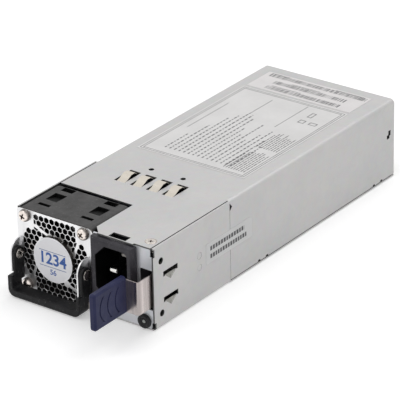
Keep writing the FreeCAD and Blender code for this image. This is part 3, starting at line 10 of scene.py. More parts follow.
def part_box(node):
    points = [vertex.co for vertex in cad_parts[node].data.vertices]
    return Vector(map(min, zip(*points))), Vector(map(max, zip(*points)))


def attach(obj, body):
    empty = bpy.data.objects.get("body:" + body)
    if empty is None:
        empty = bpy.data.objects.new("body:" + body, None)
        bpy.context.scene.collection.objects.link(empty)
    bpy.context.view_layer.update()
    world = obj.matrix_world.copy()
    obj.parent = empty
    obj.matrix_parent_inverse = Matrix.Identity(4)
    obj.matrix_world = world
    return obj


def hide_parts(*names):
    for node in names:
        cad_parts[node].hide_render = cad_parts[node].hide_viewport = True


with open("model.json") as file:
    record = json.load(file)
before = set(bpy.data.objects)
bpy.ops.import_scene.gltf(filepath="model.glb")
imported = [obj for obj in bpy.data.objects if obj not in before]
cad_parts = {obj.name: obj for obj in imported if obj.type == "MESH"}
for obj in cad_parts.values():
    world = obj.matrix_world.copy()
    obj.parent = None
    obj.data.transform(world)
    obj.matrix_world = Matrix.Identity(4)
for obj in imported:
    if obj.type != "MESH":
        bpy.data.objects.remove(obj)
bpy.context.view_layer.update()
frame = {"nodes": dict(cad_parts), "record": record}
nodes = frame["nodes"]
bodyOf = {name: body for body, names in frame["record"]["behaviour"]["bodies"].items()
          for name in names}
mm = 0.001

camera = {
    "place": (694.17, -935.07, 580.22),  # mm
    "azimuth": 36.884, "elevation": 25.904, "roll": -1.254,  # degrees
    "lens": 259.1, "sensor": 36,  # mm
    "reach": 20,  # m
}
stage = {  # metres and watts
    "floor": (0.93, 0.93, 0.93), "floorRough": 0.9, "floorGlow": 0.34,
    "floorSize": 6, "floorGap": 0.0002,
    "worldLight": 0.54, "background": 1.0,
    "lamps": {  # power, size, place
        "key": (5.2, 0.9, (-0.9, -0.9, 1.9)),
        "fill": (0.25, 1.2, (1.6, -1.1, 0.9)),
        "top": (11.0, 1.4, (0.2, 0.9, 1.8)),
    },
    "aim": (0, 0, 0.02),
}


def newObject(name, data):
    item = bpy.data.objects.new(name, data)
    bpy.context.collection.objects.link(item)
    return item


def makeCamera():
    turn, tilt, roll = (math.radians(camera[key]) for key in ("azimuth", "elevation", "roll"))
    back = Vector((math.sin(turn) * math.cos(tilt), -math.cos(turn) * math.cos(tilt),
                   math.sin(tilt)))
    right = Vector((math.cos(turn), math.sin(turn), 0))
    up = back.cross(right)
    across = right * math.cos(roll) + up * math.sin(roll)
    upward = up * math.cos(roll) - right * math.sin(roll)
    data = bpy.data.cameras.new("camera")
    data.lens = camera["lens"]
    data.sensor_width = camera["sensor"]
    data.clip_end = camera["reach"]
    item = newObject("camera", data)
    stand = Matrix((across, upward, back)).transposed().to_4x4()
    item.matrix_world = Matrix.Translation(Vector(camera["place"]) * mm) @ stand
    bpy.context.scene.camera = item


def makeLamp(name, power, size, place):
    data = bpy.data.lights.new(name, "AREA")
    data.energy = power
    data.size = size
    item = newObject(name, data)
    item.location = place
    beam = Vector(stage["aim"]) - Vector(place)
    item.rotation_euler = beam.to_track_quat("-Z", "Y").to_euler()


def seenRays(tree):
    # 1 for camera, glossy and transmission rays
    rays = tree.nodes.new("ShaderNodeLightPath")
    total = rays.outputs["Is Camera Ray"]
    for name in ("Is Glossy Ray", "Is Transmission Ray"):
        either = tree.nodes.new("ShaderNodeMath")
        either.operation = "MAXIMUM"
        tree.links.new(total, either.inputs[0])
        tree.links.new(rays.outputs[name], either.inputs[1])
        total = either.outputs[0]
    return total


def makeWorld():
    # a dim dome on the object, white where the camera or a reflection sees it
    world = bpy.data.worlds.new("studio")
    bpy.context.scene.world = world
    world.use_nodes = True
    tree = world.node_tree
    light = tree.nodes["Background"]
    level = tree.nodes.new("ShaderNodeMapRange")
    tree.links.new(seenRays(tree), level.inputs["Value"])
    level.inputs["To Min"].default_value = stage["worldLight"]
    level.inputs["To Max"].default_value = stage["background"]
    tree.links.new(level.outputs["Result"], light.inputs["Strength"])
    light.inputs["Color"].default_value = (1, 1, 1, 1)


def makeFloor():
    shape = bmesh.new()
    bmesh.ops.create_grid(shape, x_segments=1, y_segments=1, size=stage["floorSize"])
    mesh = bpy.data.meshes.new("floor")
    shape.to_mesh(mesh)
    shape.free()
    floor = newObject("floor", mesh)
    floor.location.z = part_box("base_chassis")[0].z - stage["floorGap"]
    paint = bpy.data.materials.new("floorPaint")
    paint.use_nodes = True
    tree = paint.node_tree
    surface = tree.nodes["Principled BSDF"]
    surface.inputs["Base Color"].default_value = (*stage["floor"], 1)
    surface.inputs["Roughness"].default_value = stage["floorRough"]
    glow = tree.nodes.new("ShaderNodeEmission")
    lift = tree.nodes.new("ShaderNodeMath")
    lift.operation = "MULTIPLY"
    lift.inputs[1].default_value = stage["floorGlow"]
    tree.links.new(seenRays(tree), lift.inputs[0])
    tree.links.new(lift.outputs[0], glow.inputs["Strength"])
    both = tree.nodes.new("ShaderNodeAddShader")
    tree.links.new(surface.outputs[0], both.inputs[0])
    tree.links.new(glow.outputs[0], both.inputs[1])
    tree.links.new(both.outputs[0], tree.nodes["Material Output"].inputs["Surface"])
    mesh.materials.append(paint)


makeCamera()
makeWorld()
for name, (power, size, place) in stage["lamps"].items():
    makeLamp(name, power, size, place)
makeFloor()
bpy.context.scene.view_settings.view_transform = "Standard"
print("stage: camera, lamps and floor")


def newFinish(name, **sockets):
    finish = bpy.data.materials.new(name)
    finish.use_nodes = True
    surface = finish.node_tree.nodes["Principled BSDF"]
    for key, number in sockets.items():
        surface.inputs[key].default_value = number
    return finish, finish.node_tree, surface


def addNode(tree, kind, **sockets):
    node = tree.nodes.new("ShaderNode" + kind)
    for key, number in sockets.items():
        node.inputs[key].default_value = number
    return node


def spread(tree, stretch=(1, 1, 1)):
    place = addNode(tree, "TexCoord")
    mapping = addNode(tree, "Mapping", Scale=stretch)
    tree.links.new(place.outputs["Object"], mapping.inputs["Vector"])
    return mapping.outputs["Vector"]


def noise(tree, size, detail=3.0, stretch=(1, 1, 1)):
    # size is the width of one patch in mm
    node = addNode(tree, "TexNoise", Scale=1 / (size * mm), Detail=detail)
    tree.links.new(spread(tree, stretch), node.inputs["Vector"])
    return node.outputs["Fac"]


def cells(tree, size):
    node = addNode(tree, "TexVoronoi", Scale=1 / (size * mm))
    tree.links.new(spread(tree), node.inputs["Vector"])
    return node.outputs["Color"]


def ramp(tree, source, low, high, start=0.3, end=0.7):
    # low where the source is at its start or less, high from its end on
    node = addNode(tree, "MapRange")
    for key, number in (("From Min", start), ("From Max", end), ("To Min", low), ("To Max", high)):
        node.inputs[key].default_value = number
    tree.links.new(source, node.inputs["Value"])
    return node.outputs["Result"]


def blendColour(tree, share, first, second, mode="MIX"):
    node = tree.nodes.new("ShaderNodeMix")
    node.data_type = "RGBA"
    node.blend_type = mode
    if isinstance(share, float):
        node.inputs["Factor"].default_value = share
    else:
        tree.links.new(share, node.inputs["Factor"])
    for slot, item in ((6, first), (7, second)):  # the mix node's two colour inputs
        if isinstance(item, tuple):
            node.inputs[slot].default_value = (*item, 1)
        else:
            tree.links.new(item, node.inputs[slot])
    return node.outputs[2]


def relief(tree, surface, sources):
    # sources: (height socket, depth in mm)
    normal = None
    for height, depth in sources:
        node = addNode(tree, "Bump", Strength=1.0, Distance=depth * mm)
        tree.links.new(height, node.inputs["Height"])
        if normal:
            tree.links.new(normal, node.inputs["Normal"])
        normal = node.outputs["Normal"]
    tree.links.new(normal, surface.inputs["Normal"])


def shaded(colour, share):
    return tuple(part * share for part in colour)


sheetLook = {  # widths and depths in mm
    "pale": (0.615, 0.605, 0.60), "dull": (0.575, 0.575, 0.575), "metal": 0.25,
    "panelPale": (0.70, 0.71, 0.74), "panelDull": (0.61, 0.62, 0.65), "panelMetal": 0.6,
    "stain": (0.52, 0.52, 0.51), "stainShare": 0.2,
    "cloud": 24.0, "cloudRange": (0.35, 0.7), "spangle": 2.2, "spangleShare": 0.03,
    "rub": 3.0, "rubStretch": (1, 0.35, 1), "rubRange": (0.6, 0.8),
    "rough": (0.36, 0.5), "roughPatch": 7.0,
    "wave": 45.0, "waveDepth": 0.12, "grain": 0.5, "grainDepth": 0.004, "rubDepth": 0.006,
}


def makeSheetSteel(name, pale, dull, metal):
    # galvanised sheet: soft clouds, fine crystal spangle, a few rubbed marks
    look = sheetLook
    finish, tree, surface = newFinish(name, Metallic=metal)
    cloud = noise(tree, look["cloud"], 5.0)
    spangle = cells(tree, look["spangle"])
    grain = noise(tree, look["grain"])
    rub = noise(tree, look["rub"], 5.0, look["rubStretch"])
    base = blendColour(tree, ramp(tree, cloud, 0.0, 1.0, *look["cloudRange"]), pale, dull)
    base = blendColour(tree, look["spangleShare"], base, spangle, "OVERLAY")
    worn = ramp(tree, rub, 0.0, look["stainShare"], *look["rubRange"])
    base = blendColour(tree, worn, base, look["stain"])
    tree.links.new(base, surface.inputs["Base Color"])
    rough = ramp(tree, noise(tree, look["roughPatch"], 4.0), *look["rough"])
    tree.links.new(rough, surface.inputs["Roughness"])
    relief(tree, surface, [(noise(tree, look["wave"], 1.0), look["waveDepth"]),
                           (grain, look["grainDepth"]), (rub, look["rubDepth"])])
    return finish


metalLook = {"roughPatch": 2.0, "roughSpread": (0.75, 1.25)}


def makeMetal(name, colour, rough, grain=0.4, rolling=(1, 1, 1), depth=0.004, spot=6.0, dark=0.82):
    # plain metal with darker spots; rolling draws its grain out along an axis
    finish, tree, surface = newFinish(name, Metallic=1.0)
    spots = ramp(tree, noise(tree, spot, 4.0, rolling), 0.0, 1.0)
    base = blendColour(tree, spots, colour, shaded(colour, dark))
    tree.links.new(base, surface.inputs["Base Color"])
    least, most = (rough * share for share in metalLook["roughSpread"])
    patch = noise(tree, metalLook["roughPatch"], 3.0, rolling)
    tree.links.new(ramp(tree, patch, least, most), surface.inputs["Roughness"])
    relief(tree, surface, [(noise(tree, grain, 2.0, rolling), depth)])
    return finish


headLook = {  # plated screw head: its own bright plating on the crown, painted shade round its rim; widths and depths in mm
    "crown": (0.86, 0.78, 0.72), "rim": (0.045, 0.035, 0.03), "rimMetal": 0.25,
    "rimStart": 0.6, "rimEnd": 1.3,  # mm behind the crown
    "streak": 1.2, "streakShare": 0.75,
    "rough": (0.16, 0.26), "roughPatch": 1.5, "grain": 0.4, "grainDepth": 0.003,
}


def makeHead(name):
    look = headLook
    finish, tree, surface = newFinish(name)
    place = addNode(tree, "TexCoord")
    parts = addNode(tree, "SeparateXYZ")
    tree.links.new(place.outputs["Object"], parts.inputs["Vector"])
    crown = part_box("grille_screws")[0].y
    # painted shade round the rim: darker colour and less metal further behind the crown, broken up
    # by streaks
    share = ramp(tree, parts.outputs["Y"], 0.0, 1.0,
                 crown + look["rimStart"] * mm, crown + look["rimEnd"] * mm)
    tree.links.new(ramp(tree, share, 1.0, look["rimMetal"], 0.0, 1.0), surface.inputs["Metallic"])
    streak = ramp(tree, noise(tree, look["streak"]), look["streakShare"], 1.0)
    both = addNode(tree, "Math")
    both.operation = "MULTIPLY"
    tree.links.new(share, both.inputs[0])
    tree.links.new(streak, both.inputs[1])
    base = blendColour(tree, both.outputs[0], look["crown"], look["rim"])
    tree.links.new(base, surface.inputs["Base Color"])
    rough = ramp(tree, noise(tree, look["roughPatch"]), *look["rough"])
    tree.links.new(rough, surface.inputs["Roughness"])
    relief(tree, surface, [(noise(tree, look["grain"], 2.0), look["grainDepth"])])
    return finish


plasticLook = {  # widths in mm
    "patch": 7.0, "patchRange": (0.35, 0.7), "lift": 0.006,
    "speck": 0.9, "speckRange": (0.62, 0.8), "dustColour": (0.35, 0.34, 0.33),
    "roughPatch": 3.0, "smoother": 0.07, "rougher": 0.08,
}


def makePlastic(name, colour, rough, grain=0.35, depth=0.012, dust=0.25, lift=1.5, gloss=0.25):
    # moulded plastic with paler patches and specks of dust
    look = plasticLook
    finish, tree, surface = newFinish(name)
    surface.inputs["Specular IOR Level"].default_value = gloss
    patch = noise(tree, look["patch"], 4.0)
    lighter = tuple(min(1.0, part * lift + look["lift"]) for part in colour)
    base = blendColour(tree, ramp(tree, patch, 0.0, 1.0, *look["patchRange"]), colour, lighter)
    specks = ramp(tree, noise(tree, look["speck"], 2.0), 0.0, dust, *look["speckRange"])
    base = blendColour(tree, specks, base, look["dustColour"])
    tree.links.new(base, surface.inputs["Base Color"])
    uneven = ramp(tree, noise(tree, look["roughPatch"]),
                  rough - look["smoother"], rough + look["rougher"])
    tree.links.new(uneven, surface.inputs["Roughness"])
    relief(tree, surface, [(noise(tree, grain, 2.0), depth)])
    return finish


filmLook = {  # widths and depths in mm
    "patch": 12.0, "dark": 0.92, "coatRough": 0.15, "roughPatch": 3.0, "roughSpread": 0.06,
    "grain": 0.25, "grainDepth": 0.002, "wave": 14.0, "waveDepth": 0.03,
}


def makeFilm(name, colour, rough, coat=0.0):
    # printed or coated film and its inks
    look = filmLook
    finish, tree, surface = newFinish(name)
    surface.inputs["Coat Weight"].default_value = coat
    surface.inputs["Coat Roughness"].default_value = look["coatRough"]
    patch = ramp(tree, noise(tree, look["patch"], 4.0), 0.0, 1.0)
    base = blendColour(tree, patch, colour, shaded(colour, look["dark"]))
    tree.links.new(base, surface.inputs["Base Color"])
    uneven = ramp(tree, noise(tree, look["roughPatch"]),
                  rough - look["roughSpread"], rough + look["roughSpread"])
    tree.links.new(uneven, surface.inputs["Roughness"])
    relief(tree, surface, [(noise(tree, look["grain"], 2.0), look["grainDepth"]),
                           (noise(tree, look["wave"], 1.0), look["waveDepth"])])
    return finish


wireLook = {  # widths and depths in mm
    "colour": (0.62, 0.28, 0.12), "metal": 0.85, "dark": 0.35, "ridgeRange": (0.1, 0.6),
    "pitch": 0.7, "bandsPerTurn": 6.28, "axis": "Y", "bend": 0.4, "depth": 0.12,
    "rough": (0.3, 0.45), "roughPatch": 2.0,
}


def makeWire(name):
    # wound wire: fine ridges across the winding's axis, with painted shade in the grooves between
    # them
    look = wireLook
    finish, tree, surface = newFinish(name, Metallic=look["metal"])
    wave = addNode(tree, "TexWave", Scale=1 / (look["pitch"] * mm) / look["bandsPerTurn"],
                   Distortion=look["bend"], Detail=1.0)
    wave.bands_direction = look["axis"]
    tree.links.new(spread(tree), wave.inputs["Vector"])
    ridges = ramp(tree, wave.outputs["Fac"], 0.0, 1.0, *look["ridgeRange"])
    # painted shade: the colour darkens in the grooves between the ridges
    base = blendColour(tree, ridges, shaded(look["colour"], look["dark"]), look["colour"])
    tree.links.new(base, surface.inputs["Base Color"])
    rough = ramp(tree, noise(tree, look["roughPatch"]), *look["rough"])
    tree.links.new(rough, surface.inputs["Roughness"])
    relief(tree, surface, [(wave.outputs["Fac"], look["depth"])])
    return finish


finishes = {
    "caseSteel": makeSheetSteel("caseSteel", sheetLook["pale"], sheetLook["dull"],
                                sheetLook["metal"]),
    "panelSteel": makeSheetSteel("panelSteel", sheetLook["panelPale"], sheetLook["panelDull"],
                                 sheetLook["panelMetal"]),
    # painted shade: a darker steel for the lattice set back in the grille plate
    "latticeShadeSteel": makeMetal("latticeShadeSteel", (0.34, 0.34, 0.35), 0.42, 0.5, (1, 1, 0.05)),
    # painted shade: near-black steel on the disc's skirt and in the lattice's holes
    "skirtShadeSteel": makeMetal("skirtShadeSteel", (0.07, 0.065, 0.06), 0.5),
    # painted shade: darker steel inside the case and in its holes
    "innerShadeSteel": makeMetal("innerShadeSteel", (0.16, 0.16, 0.16), 0.6),
    # painted shade: darker steel on the side wall's dents
    "dentShadeSteel": makeMetal("dentShadeSteel", (0.34, 0.335, 0.31), 0.5),
    "brightPlate": makeMetal("brightPlate", (0.88, 0.88, 0.89), 0.36, 0.5, (1, 1, 0.05)),
    # the spring's darker spots, drawn out into vertical bands, are painted reflection bands
    "springSteel": makeMetal("springSteel", (0.61, 0.55, 0.535), 0.3, 0.5, (1, 1, 0.05), 0.003,
                             2.5, 0.6),
    "earthSteel": makeMetal("earthSteel", (0.70, 0.65, 0.575), 0.3, 0.4, (0.05, 1, 1)),
    "screwSteel": makeMetal("screwSteel", (0.72, 0.67, 0.62), 0.2),
    # painted shade: dark metal in the screws' cross recesses
    "screwCrossShade": makeMetal("screwCrossShade", (0.10, 0.07, 0.055), 0.4),
    "panHead": makeHead("panHead"),
    "rivetSteel": makeMetal("rivetSteel", (0.62, 0.62, 0.63), 0.42),
    "fanPlastic": makePlastic("fanPlastic", (0.040, 0.039, 0.039), 0.46),
    # painted shade: near-black plastic in the fan's top pits and slots
    "pitShadePlastic": makePlastic("pitShadePlastic", (0.004, 0.004, 0.004), 0.6, dust=0.02, lift=1.1,
                              gloss=0.08),
    "bladePlastic": makePlastic("bladePlastic", (0.010, 0.010, 0.011), 0.45),
    "handlePlastic": makePlastic("handlePlastic", (0.010, 0.010, 0.011), 0.42, gloss=0.18),
    "inletPlastic": makePlastic("inletPlastic", (0.030, 0.028, 0.034), 0.42),
    # painted shade: near-black plastic inside the inlet's cavity
    "cavityShadePlastic": makePlastic("cavityShadePlastic", (0.002, 0.002, 0.002), 0.6, dust=0.02, lift=1.1,
                                 gloss=0.05),
    "paddlePlastic": makePlastic("paddlePlastic", (0.017, 0.020, 0.068), 0.40, dust=0.05, lift=1.2,
                                 gloss=0.2),
    "bezelPlastic": makePlastic("bezelPlastic", (0.012, 0.012, 0.014), 0.32),
    "pinMetal": makeMetal("pinMetal", (0.90, 0.89, 0.86), 0.28, 0.3, (1, 0.05, 1)),
    # painted shade: dark metal on the inlet pins' sides behind their tips
    "pinShade": makeMetal("pinShade", (0.22, 0.21, 0.20), 0.35, 0.3, (1, 0.05, 1)),
    "silverFilm": makeFilm("silverFilm", (0.80, 0.79, 0.785), 0.45, 0.1),
    "paleFilm": makeFilm("paleFilm", (0.84, 0.815, 0.815), 0.5),
    "sideFilm": makeFilm("sideFilm", (0.72, 0.72, 0.72), 0.5),
    "discFilm": makeFilm("discFilm", (0.95, 0.95, 0.98), 0.45),
    "printInk": makeFilm("printInk", (0.07, 0.07, 0.075), 0.5),
    "greyInk": makeFilm("greyInk", (0.17, 0.17, 0.175), 0.5),
    "blueInk": makeFilm("blueInk", (0.035, 0.12, 0.42), 0.5),
    "ruleInk": makeFilm("ruleInk", (0.16, 0.22, 0.42), 0.5),
    "boardMask": makePlastic("boardMask", (0.02, 0.11, 0.05), 0.35, 0.6, 0.02, 0.1, 1.4),
    "contactGold": makeMetal("contactGold", (0.85, 0.64, 0.25), 0.22),
    "barrierFilm": makePlastic("barrierFilm", (0.03, 0.03, 0.035), 0.3),
    "turnedBrass": makeMetal("turnedBrass", (0.76, 0.60, 0.30), 0.3),
    "shrinkSleeve": makePlastic("shrinkSleeve", (0.02, 0.025, 0.05), 0.25, 1.2, 0.01, 0.1),
    "yellowBox": makePlastic("yellowBox", (0.52, 0.40, 0.07), 0.4, dust=0.05, lift=1.15),
    "blueBox": makePlastic("blueBox", (0.02, 0.05, 0.17), 0.4, dust=0.05, lift=1.2),
    "dippedBlue": makePlastic("dippedBlue", (0.05, 0.16, 0.38), 0.3, 0.8, 0.04, 0.05, 1.2),
    "paleCeramic": makePlastic("paleCeramic", (0.72, 0.69, 0.62), 0.5, dust=0.1, lift=1.1),
    "ferrite": makePlastic("ferrite", (0.04, 0.04, 0.042), 0.55, 0.5, 0.03),
    "copperWire": makeWire("copperWire"),
    "yellowTape": makePlastic("yellowTape", (0.60, 0.44, 0.06), 0.32, 1.5, 0.03, 0.05, 1.15),
    "extruded": makeMetal("extruded", (0.76, 0.77, 0.78), 0.36, 0.4, (1, 1, 0.04), 0.01),
    "epoxy": makePlastic("epoxy", (0.015, 0.015, 0.015), 0.5, 0.25, 0.02),
    "lampResin": makePlastic("lampResin", (0.42, 0.44, 0.42), 0.2, 0.4, 0.004, 0.1, 1.1),
}

finishOf = {
    "base_chassis": "caseSteel", "top_cover": "caseSteel", "cover_screw": "screwSteel",
    "earth_spring_strip": "earthSteel", "earth_strip_rivets": "earthSteel",
    "front_panel": "panelSteel", "rear_panel": "caseSteel", "fan_grille_plate": "brightPlate",
    "grille_screws": "screwSteel", "fan_housing": "fanPlastic", "fan_rotor": "bladePlastic",
    "fan_shaft": "rivetSteel", "fan_magnet_ring": "ferrite", "fan_stator": "copperWire",
    "fan_bearings": "turnedBrass", "handle_bail": "handlePlastic", "handle_ears": "brightPlate",
    "handle_pivots": "screwSteel", "inlet_housing": "inletPlastic", "inlet_pins": "pinMetal",
    "latch_spring": "springSteel", "latch_spring_root": "springSteel", "latch_rivets": "caseSteel",
    "latch_paddle": "paddlePlastic", "lamp_bezel": "bezelPlastic", "status_lamp": "lampResin",
    "rating_label": "silverFilm", "barcode_label": "paleFilm", "side_label": "sideFilm",
    "grille_disc_label": "discFilm", "main_board": "boardMask", "edge_contacts": "contactGold",
    "insulating_film": "barrierFilm", "board_spacers": "turnedBrass", "board_screws": "screwSteel",
    "input_fuse": "paleCeramic", "choke_core": "ferrite", "choke_windings": "copperWire",
    "filter_capacitors": "yellowBox", "inrush_relay": "blueBox", "disc_capacitors": "dippedBlue",
    "bulk_capacitor": "shrinkSleeve", "primary_heat_sink": "extruded",
    "switching_transistors": "epoxy", "power_choke_core": "ferrite",
    "power_choke_winding": "copperWire", "transformer_core": "ferrite",
    "transformer_winding": "yellowTape", "output_heat_sinks": "extruded",
    "output_capacitors": "shrinkSleeve", "control_board": "boardMask", "control_chips": "epoxy",
}


def dress(item, finish):
    item.data.materials.clear()
    item.data.materials.append(finishes[finish])


for name, finish in finishOf.items():
    dress(nodes[name], finish)
print("finishes:", len(finishes), "on", len(finishOf), "nodes")


def addPiece(name, shape, node, finish, stands=()):
    # a finished piece that rides with the node's body and hides the nodes it stands in for
    mesh = bpy.data.meshes.new(name)
    shape.to_mesh(mesh)
    shape.free()
    item = newObject(name, mesh)
    dress(item, finish)
    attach(item, bodyOf[node])
    if stands:
        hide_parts(*stands)
    return item


def finalMesh(item):
    # what the object's modifiers or text give
    graph = bpy.context.evaluated_depsgraph_get()
    return bpy.data.meshes.new_from_object(item.evaluated_get(graph))


def swapMesh(item, fresh):
    old = item.data
    item.data = fresh
    bpy.data.meshes.remove(old)


def middleOf(node):
    low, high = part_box(node)
    return [(low[i] + high[i]) / 2 / mm for i in range(3)]


def smoothFaces(shape, angle=30):
    # smooth shading that breaks at edges sharper than the angle
    for face in shape.faces:
        face.smooth = True
    for edge in shape.edges:
        if len(edge.link_faces) != 2 or edge.calc_face_angle(0) > math.radians(angle):
            edge.smooth = False


def addBlock(shape, low, high):
    # a small box between two corners given in mm
    low, high = Vector(low) * mm, Vector(high) * mm
    matrix = Matrix.Translation((low + high) / 2) @ Matrix.Diagonal((*(high - low), 1))
    bmesh.ops.create_cube(shape, size=1, matrix=matrix)


def addHull(shape, corners):
    # the closed solid round a few corners given in mm
    bmesh.ops.convex_hull(shape, input=[shape.verts.new(Vector(corner) * mm) for corner in corners])


def aimed(place, axis):
    # stands what was made along Z at a place in mm, along another axis
    turn = Vector((0, 0, 1)).rotation_difference(Vector(axis)).to_matrix().to_4x4()
    return Matrix.Translation(Vector(place) * mm) @ turn


def turned(shape, profile, place, axis, steps=40):
    # spins a profile of (radius, height) pairs in mm and stands it along the axis
    verts = [shape.verts.new((radius * mm, 0, height * mm)) for radius, height in profile]
    edges = [shape.edges.new(pair) for pair in zip(verts, verts[1:])]
    bmesh.ops.spin(shape, geom=verts + edges, cent=(0, 0, 0), axis=(0, 0, 1), angle=math.tau,
                   steps=steps, use_merge=True, use_duplicate=False)
    fresh = [vert for vert in shape.verts if not vert.tag]
    bmesh.ops.remove_doubles(shape, verts=fresh, dist=1e-7)
    fresh = [vert for vert in shape.verts if not vert.tag]
    faces = {face for vert in fresh for face in vert.link_faces}
    bmesh.ops.recalc_face_normals(shape, faces=list(faces))
    bmesh.ops.transform(shape, matrix=aimed(place, axis), verts=fresh)
    for vert in fresh:  # done, so that the next turned part leaves it alone
        vert.tag = True


def carved(item, shape, crossing=False):
    # takes the cutter's shape out of the piece for good
    mesh = bpy.data.meshes.new("cutter")
    shape.to_mesh(mesh)
    shape.free()
    cutter = newObject("cutter", mesh)
    carve = item.modifiers.new("carve", "BOOLEAN")
    carve.operation = "DIFFERENCE"
    carve.solver = "EXACT"
    carve.use_self = crossing
    carve.material_mode = "INDEX"
    carve.object = cutter
    fresh = finalMesh(item)
    item.modifiers.remove(carve)
    shape = bmesh.new()
    shape.from_mesh(fresh)
    smoothFaces(shape)
    shape.to_mesh(fresh)
    shape.free()
    swapMesh(item, fresh)
    bpy.data.objects.remove(cutter)
    bpy.data.meshes.remove(mesh)


sideCuts = {  # places and sizes in mm
    "wall": 36.75, "through": 37.2,  # the side's outer face, and where cutters end outside it
    "slits": (12.2, 24.4), "slitX": (34.0, 37.0), "slitY": (-85.7, -75.7),
    "slitSink": 0.75, "slitHeight": 1.1,
    "dentDrop": 3.6, "dentDepth": 0.54, "dentInset": 0.4, "dentLap": 0.1, "dentProud": 0.05,
    "notches": (-16.4, -10.4, 75.6, 81.9), "notchLong": 1.5, "notchX": 33.5, "notchZ": (0.85, 1.95),
    "hookFoot": ((32.0, 86.4, 20.7), (37.2, 88.5, 22.6)),
    "hookBar": ((32.0, 87.7, 21.5), (35.94, 89.3, 24.5)),
}


def edgeCutters(slits=()):
    # first the slits, the small notches in the side's lower edge and the foot of the hooked hole
    # near the rear; then the dents under the slits and the hooked hole's bar
    first, second = bmesh.new(), bmesh.new()
    (near, far), (front, back) = sideCuts["slitX"], sideCuts["slitY"]
    middle, inset = (front + back) / 2, sideCuts["dentInset"]
    proud = sideCuts["wall"] + sideCuts["dentProud"]
    for low in slits:
        edge = low - sideCuts["slitSink"]
        addBlock(first, (near, front, edge), (far, back, low + sideCuts["slitHeight"]))
        top = edge + sideCuts["dentLap"]
        addHull(second, [(proud, front + inset, top), (proud, back - inset, top),
                         (proud, middle, edge - sideCuts["dentDrop"]),
                         (sideCuts["wall"] - sideCuts["dentDepth"], middle, top)])
    half, (floor, top) = sideCuts["notchLong"] / 2, sideCuts["notchZ"]
    for y in sideCuts["notches"]:
        addBlock(first, (sideCuts["notchX"], y - half, floor), (sideCuts["through"], y + half, top))
    addBlock(first, *sideCuts["hookFoot"])
    addBlock(second, *sideCuts["hookBar"])
    return first, second


def wallCutters():
    return edgeCutters(sideCuts["slits"])


cardCorner = {"across": 2.2, "along": 3.3, "side": 4, "over": 1}  # mm cut off, and cut past it


def cardCutters():
    # slanting corners of the card edge
    low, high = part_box("main_board")
    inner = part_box("edge_contacts")[1].x / mm
    half, outer = inner + cardCorner["across"], inner + cardCorner["across"] + cardCorner["side"]
    rear, over = high.y / mm, cardCorner["over"]
    start = rear - cardCorner["along"]
    shape = bmesh.new()
    for side in (-1, 1):
        ends = [(inner, rear), (half, start), (outer, start), (outer, rear + over),
                (inner, rear + over)]
        addHull(shape, [(side * x, y, z) for x, y in ends
                        for z in (low.z / mm - over, high.z / mm + over)])
    return (shape,)


cutters = {"base_chassis": wallCutters, "top_cover": edgeCutters, "main_board": cardCutters}


deepShadeBoxes = {  # half width, distances from front and rear, depths under the top, in mm; faces in these boxes get painted shade
    "inlet_housing": (8.6, (0.9, 0.0), (27.0, 2.0)),
    "fan_housing": (18.5, (1.5, 1.5), (2.7, 0.25)),
}


def deepShadeFaces(node):
    # 1 on faces whose middle lies in the node's own deep box: painted shade in the inlet's cavity
    # and the fan's pits
    low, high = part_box(node)
    half, ends, depths = deepShadeBoxes[node]
    middle = (low + high) / 2
    front, back = low.y + ends[0] * mm, high.y - ends[1] * mm
    floor, top = high.z - depths[0] * mm, high.z - depths[1] * mm

    def test(place, normal):
        across = abs(place.x - middle.x) < half * mm
        return int(across and front < place.y < back and floor < place.z < top)

    return test


grilleDepths = {  # mm behind the disc's face, and the normal's part that faces forward; they mark where painted shade goes
    "lattice": 2.4, "skirt": (0.1, 1.9), "facing": -0.5,
}


def grilleShadeFaces():
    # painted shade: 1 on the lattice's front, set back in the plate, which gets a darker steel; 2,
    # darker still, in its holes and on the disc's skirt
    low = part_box("fan_grille_plate")[0].y
    start, end = (low + depth * mm for depth in grilleDepths["skirt"])

    def test(place, normal):
        if place.y > low + grilleDepths["lattice"] * mm:
            return 1 if normal.y < grilleDepths["facing"] else 2
        return 2 if start < place.y < end else 0

    return test


pinTip = 0.3  # mm of each inlet pin that keeps the bright pin colour; behind it the pin gets painted shade


def pinShadeSides():
    # 1 behind the pins' tips, which stand at two depths: painted shade on the pins' sides
    tips = sorted({round(vert.co.y, 5) for vert in nodes["inlet_pins"].data.vertices})[:2]
    return lambda place, normal: int(min(abs(place.y - tip) for tip in tips) > pinTip * mm)


sheetFaces = {  # mm, and parts of a face's normal
    "skin": 0.3, "lidSkin": 1.2, "level": 0.99, "upright": 0.01,
    "dentTurn": (0.95, 0.999), "dentMargin": 5,
}


def innerShadeWalls(node, dented=False):
    # painted shade: 1 on the faces inside the sheet and in its holes but not on its bends, 2 on the
    # dents
    low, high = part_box(node)
    skin, margin = sheetFaces["skin"] * mm, sheetFaces["dentMargin"] * mm
    least, most = sheetFaces["dentTurn"]

    def test(place, normal):
        if dented and least < normal.x < most and low.z + margin < place.z < high.z - margin:
            return 2
        inside = all(low[i] + skin < place[i] < high[i] - skin for i in (0, 2))
        level = max(abs(part) for part in normal) > sheetFaces["level"]
        sideHole = abs(normal.x) < sheetFaces["upright"]
        inLid = place.z > high.z - sheetFaces["lidSkin"] * mm
        lidHole = abs(normal.z) < sheetFaces["upright"] and inLid
        return int(inside and (level or sideHole or lidHole))

    return test


